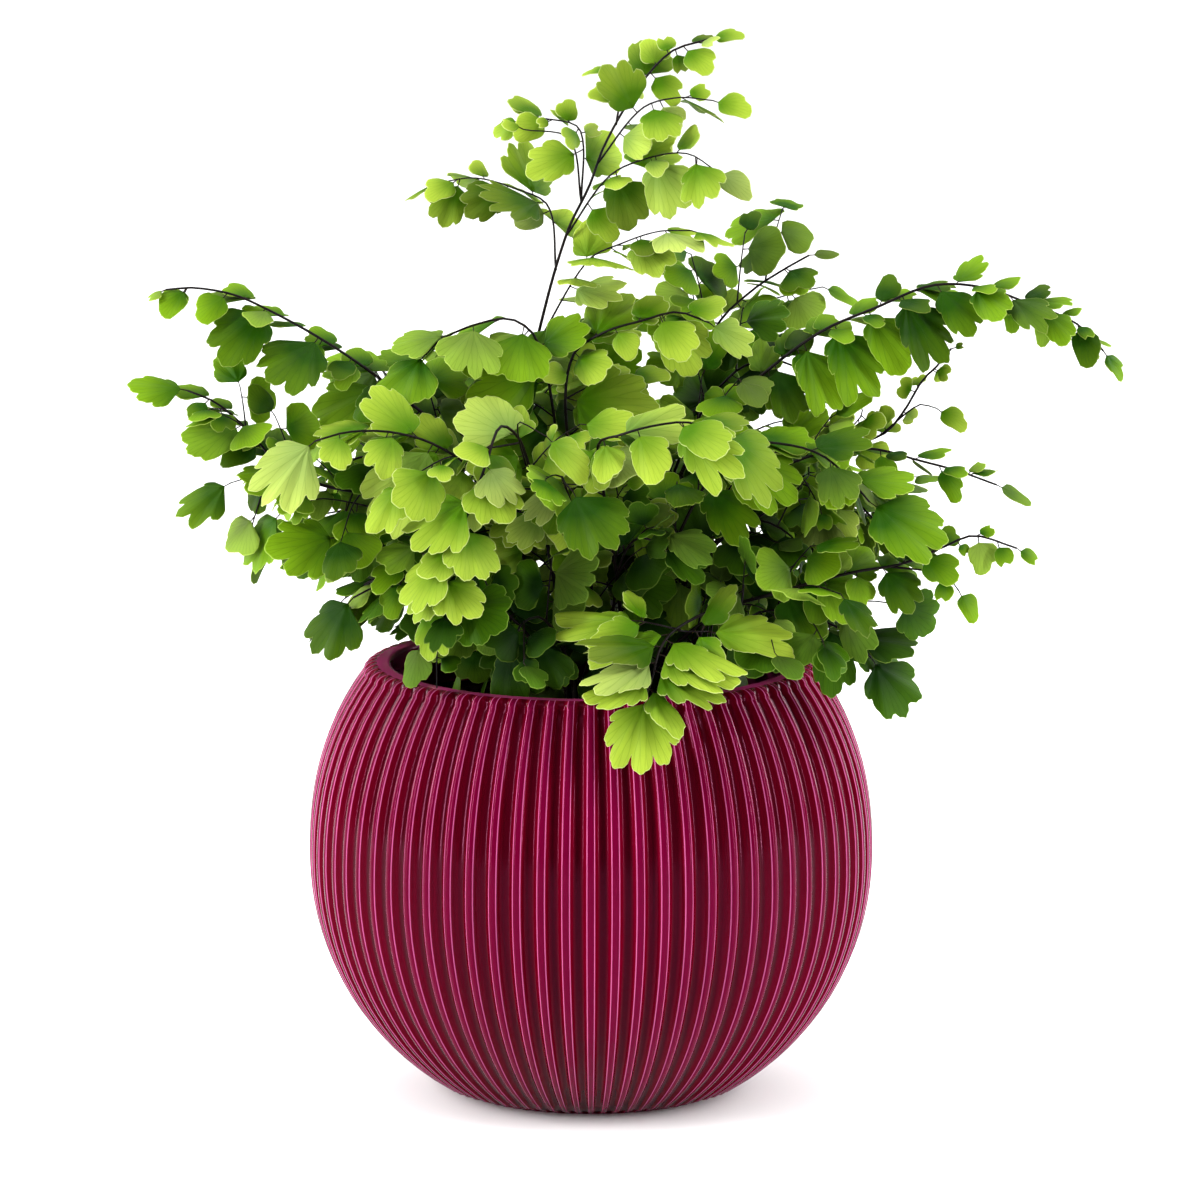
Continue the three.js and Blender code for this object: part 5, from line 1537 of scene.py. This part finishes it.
def leaf_material(name, deep, bright, edge, under):
    """A thin leaf: deeper towards its foot, brighter outwards, with forked veins and a pale margin painted
    as a highlight.
    """
    nodes = Nodes(name)
    place = nodes.make("ShaderNodeUVMap", uv_map="places").outputs["UV"]
    split = nodes.make("ShaderNodeSeparateXYZ")
    nodes.link(place, split.inputs["Vector"])
    across, out = split.outputs["X"], split.outputs["Y"]
    tint, age, rim_highlight, upper = nodes.looks()
    patches = nodes.noise(**LEAF_PATCHES)
    veins = vein_lines(nodes, across, out)

    share = nodes.math("MULTIPLY_ADD", nodes.step(*BRIGHT_RANGE, out), BRIGHT_SHARE, BRIGHT_START)
    share = nodes.math("ADD", share, nodes.times(tint, TINT_SHARE))
    share = nodes.math("ADD", share, nodes.math("MULTIPLY_ADD", patches, PATCH_SHARE, -PATCH_SHARE / 2))
    share = nodes.math("MINIMUM", nodes.math("MAXIMUM", share, 0), 1)
    old = nodes.times(nodes.step(*AGE_RANGE, age), AGE_SHARE)
    lined = nodes.times(veins, VEIN_SHARE)
    # Painted highlight along the rim.
    painted_rim_highlight = nodes.times(nodes.step(*RIM_HIGHLIGHT_RANGE, rim_highlight), RIM_HIGHLIGHT_SHARE)
    # Painted shade on leaflets of the lowest tint, most of all those deep inside the plant.
    inner = nodes.math("SUBTRACT", 1, nodes.step(*INNER_SHADE_RANGE, tint))
    inner = nodes.times(inner, INNER_SHADE_SHARE)

    body = nodes.mix(share, deep, bright)
    body = nodes.mix(old, body, edge)
    body = nodes.mix(lined, body, deep)
    body = nodes.mix(painted_rim_highlight, body, edge)
    body = nodes.mix(upper, nodes.mix(UNDER_SHARE, body, under), body)
    body = nodes.mix(inner, body, colour(INNER_SHADE_COLOUR))

    height = nodes.times(patches, PATCH_RELIEF)
    height = nodes.math("MULTIPLY_ADD", veins, VEIN_RELIEF, height)
    normal = nodes.bump(height, **LEAF_BUMP)
    nodes.set(Base_Color=body, Roughness=0.5, Specular_IOR_Level=0.08)
    glow = nodes.make("ShaderNodeBsdfTranslucent")
    nodes.link(body, glow.inputs["Color"])
    nodes.link(normal, glow.inputs["Normal"])
    both = nodes.make("ShaderNodeMixShader")
    nodes.link(LEAF_GLOW, both.inputs["Fac"])
    nodes.link(nodes.shader.outputs["BSDF"], both.inputs[1])
    nodes.link(glow.outputs["BSDF"], both.inputs[2])
    nodes.link(both.outputs["Shader"], nodes.output.inputs["Surface"])
    return nodes.material


# A stem is of two colours in patches, and the leaflets' own stalks are a little browner.
STEM_COLOURS = ((8, 4, 4), (20, 11, 9))
STALK_COLOUR = (40, 28, 14)
STALK_SHARE = 0.4
STEM_PATCHES = dict(scale=120, detail=3, roughness=0.6)
STEM_PATCH_RANGE = (0.35, 0.7)
STEM_BUMP = dict(strength=0.3, distance=0.0002)


def stem_material():
    """Wiry, nearly black stems."""
    nodes = Nodes("stem_wiry")
    thin, _, _, _ = nodes.looks()
    patches = nodes.noise(**STEM_PATCHES)
    dark, light = (colour(shown) for shown in STEM_COLOURS)
    body = nodes.mix(nodes.step(*STEM_PATCH_RANGE, patches), dark, light)
    body = nodes.mix(nodes.times(thin, STALK_SHARE), body, colour(STALK_COLOUR))
    nodes.bump(patches, **STEM_BUMP)
    nodes.set(Base_Color=body, Roughness=0.45, Specular_IOR_Level=0.1)
    return nodes.material


# The glaze's colours, as pairs that clouds blend, then those of single features.
GROOVE_COLOURS = ((84, 0, 16), (96, 0, 23))
RIDGE_COLOURS = ((85, 0, 31), (93, 2, 38))
SMOOTH_COLOURS = ((140, 40, 88), (150, 48, 98))
# Darkest in each groove's middle: glaze pooled there, and painted shade.
DEEPEST_POOL_AND_SHADE_COLOUR = (54, 0, 9)
# The pale line at a ridge's edge is a painted highlight.
HIGHLIGHT_LINE_COLOUR = (200, 94, 148)
SPECK_COLOUR = (90, 0, 34)
GLAZE_SHEEN = (1, 0.22, 0.52, 1)
CLOUDS = dict(scale=16, detail=4, roughness=0.55)
SPECKS = dict(scale=420, detail=3, roughness=0.6)
CLOUD_RANGE = (0.3, 0.75)
SPECK_RANGE = (0.62, 0.8)
SPECK_SHARE = 0.12
GLAZE_BUMP = dict(strength=0.02, distance=0.0002)
LEAST_ROUGHNESS = 0.13
CLOUD_ROUGHNESS = 0.05

# Where the glaze changes, as shares of the way from a ridge's middle to the next one's: into the
# groove, to its deepest colour, where painted shade adds to the pooled glaze, and the start and end of
# the painted highlight line at the ridge's edge. Where the ribs run out, under SMOOTH_RANGE of their
# depth, the glaze is smooth and pale.
GROOVE_RANGE = (0.13, 0.2)
DEEPEST_POOL_AND_SHADE_RANGE = (0.22, 0.44)
HIGHLIGHT_LINE_START_RANGE = (0.125, 0.15)
HIGHLIGHT_LINE_END_RANGE = (0.155, 0.185)
HIGHLIGHT_LINE_SHARE = 0.8
SMOOTH_RANGE = (0, 0.3)


def pot_material():
    """A glaze that lies deep and dark in the grooves, darkest at their middles where painted shade adds
    to the pooled glaze, and runs thin over the ridges, with a pink painted highlight line on the two edges
    of each."""
    nodes = Nodes("pot_glaze")
    ribbed, from_ridge, _, _ = nodes.looks()
    clouds = nodes.step(*CLOUD_RANGE, nodes.noise(**CLOUDS))
    fine = nodes.noise(**SPECKS)
    pairs = (GROOVE_COLOURS, RIDGE_COLOURS, SMOOTH_COLOURS)
    groove, ridge, smooth = (nodes.mix(clouds, colour(a), colour(b)) for a, b in pairs)
    # Painted shade adds to the pooled glaze towards each groove's middle.
    groove = nodes.mix(nodes.step(*DEEPEST_POOL_AND_SHADE_RANGE, from_ridge), groove, colour(DEEPEST_POOL_AND_SHADE_COLOUR))
    body = nodes.mix(nodes.step(*GROOVE_RANGE, from_ridge), ridge, groove)
    starts, ends = (nodes.step(*reach, from_ridge) for reach in (HIGHLIGHT_LINE_START_RANGE, HIGHLIGHT_LINE_END_RANGE))
    # The pale line at each ridge's edge is a painted highlight.
    line = nodes.times(nodes.math("SUBTRACT", starts, ends), HIGHLIGHT_LINE_SHARE)
    body = nodes.mix(line, body, colour(HIGHLIGHT_LINE_COLOUR))
    body = nodes.mix(nodes.step(*SMOOTH_RANGE, ribbed), smooth, body)
    specks = nodes.times(nodes.step(*SPECK_RANGE, fine), SPECK_SHARE)
    body = nodes.mix(specks, body, colour(SPECK_COLOUR))
    rough = nodes.math("MULTIPLY_ADD", clouds, CLOUD_ROUGHNESS, LEAST_ROUGHNESS)
    nodes.bump(fine, **GLAZE_BUMP)
    nodes.set(Base_Color=body, Roughness=rough, Specular_IOR_Level=0.11, Specular_Tint=GLAZE_SHEEN)
    return nodes.material


# Soil is of two browns in coarse grains, and its crumbs are paler, each by its own shade.
SOIL_COLOURS = ((20, 14, 10), (50, 36, 26))
CRUMB_COLOUR = (78, 58, 42)
CRUMB_SHARE = 0.35
COARSE_GRAINS = dict(scale=180, detail=5, roughness=0.65)
FINE_GRAINS = dict(scale=900, detail=4, roughness=0.7)
GRAIN_RANGE = (0.3, 0.75)
SOIL_BUMP = dict(strength=0.7, distance=0.0008)


def soil_material():
    """Dark, rough potting soil."""
    nodes = Nodes("soil_dark")
    shade, _, _, _ = nodes.looks()
    coarse, fine = (nodes.noise(**grains) for grains in (COARSE_GRAINS, FINE_GRAINS))
    dark, light = (colour(shown) for shown in SOIL_COLOURS)
    body = nodes.mix(nodes.step(*GRAIN_RANGE, coarse), dark, light)
    body = nodes.mix(nodes.times(shade, CRUMB_SHARE), body, colour(CRUMB_COLOUR))
    nodes.bump(nodes.math("ADD", coarse, fine), **SOIL_BUMP)
    nodes.set(Base_Color=body, Roughness=0.95, Specular_IOR_Level=0.2)
    return nodes.material


def dress_plant():
    """Two pieces for each frond: its leaflets, and its stems with the leaflets' stalks."""
    plant = grow_plant()
    leaf_looks = {
        tone: leaf_material("leaf_" + tone, **{key: colour(shown) for key, shown in parts.items()})
        for tone, parts in LEAF_COLOURS.items()
    }
    wiry = stem_material()
    for order, frond in enumerate(FRONDS):
        blades = Builder()
        rods = Builder()
        for stem in plant.stems:
            if stem.frond == order:
                add_stem_tube(rods, stem)
        for leaf in plant.leaves:
            if leaf.frond == order:
                add_leaf(blades, leaf)
                add_petiole(rods, leaf)
        slot = "leaf_" + frond["tone"]
        blades.object(frond["name"] + "_leaflets", leaf_looks[frond["tone"]], slot, frond["name"])
        rods.object(frond["name"] + "_stems", wiry, "stem", frond["name"])


# The studio: a pale floor, an even light from all around, and lamps. A lamp has a place, what it faces,
# a width and a height, all in metres, and its power in watts.
STAGE_SIZE = 8
STAGE_COLOUR = (0.9, 0.9, 0.9, 1)
WORLD_LIGHT = 0.27
PLANT_MIDDLE = (0, 0, 0.1)
LAMPS = {
    "ceiling": ((0, 1.0, 3.2), (0, 1.0, 0), 6, 6, 200),
    "key_left": ((-1.9, -0.9, 0.75), PLANT_MIDDLE, 0.08, 2.4, 85),
    "side_right": ((1.9, -0.8, 0.75), PLANT_MIDDLE, 0.08, 2.4, 60),
    "rim_left": ((-1.6, 0.9, 0.8), PLANT_MIDDLE, 0.5, 1.4, 30),
    "rim_right": ((1.6, 1.0, 0.8), PLANT_MIDDLE, 0.5, 1.4, 30),
}


def make_floor():
    """The floor that the pot stands on, which is stage and not part of the plant."""
    bpy.ops.mesh.primitive_plane_add(size=STAGE_SIZE, location=(0, 0, 0))
    floor = bpy.context.object
    floor.name = "floor"
    nodes = Nodes("floor_pale")
    nodes.set(Base_Color=STAGE_COLOUR, Roughness=0.9, Specular_IOR_Level=0.1)
    floor.data.materials.append(nodes.material)


def softbox(name, place, aim, width, height, power):
    """A flat lamp that faces a point."""
    lamp = bpy.data.lights.new(name, "AREA")
    lamp.shape = "RECTANGLE"
    lamp.size = width
    lamp.size_y = height
    lamp.energy = power
    made = bpy.data.objects.new(name, lamp)
    made.location = place
    made.rotation_euler = (Vector(aim) - Vector(place)).to_track_quat("-Z", "Y").to_euler()
    bpy.context.scene.collection.objects.link(made)


def light_studio():
    """White light from all around, and the lamps."""
    world = bpy.data.worlds.new("studio")
    world.use_nodes = True
    back = world.node_tree.nodes["Background"]
    back.inputs["Color"].default_value = (1, 1, 1, 1)
    back.inputs["Strength"].default_value = WORLD_LIGHT
    bpy.context.scene.world = world
    for name, settings in LAMPS.items():
        softbox(name, *settings)


# The photograph's camera: a long lens that looks down a little. AIM is what it looks at.
LENS = 270
SENSOR = 36
DISTANCE = 2.544
AIM = (0.00254, 0, 0.1404)


def make_camera():
    """The camera, straight in front of the plant."""
    lens = bpy.data.cameras.new("camera")
    lens.lens = LENS
    lens.sensor_width = SENSOR
    camera = bpy.data.objects.new("camera", lens)
    away = Vector((0, -math.cos(EYE_TILT), math.sin(EYE_TILT))) * DISTANCE
    camera.location = Vector(AIM) + away
    camera.rotation_euler = (math.pi / 2 - EYE_TILT, 0, 0)
    bpy.context.scene.collection.objects.link(camera)
    bpy.context.scene.camera = camera


make_camera()
light_studio()
make_floor()
make_pot(pot_material())
make_soil(soil_material())
dress_plant()
bpy.context.scene.view_settings.view_transform = "Standard"
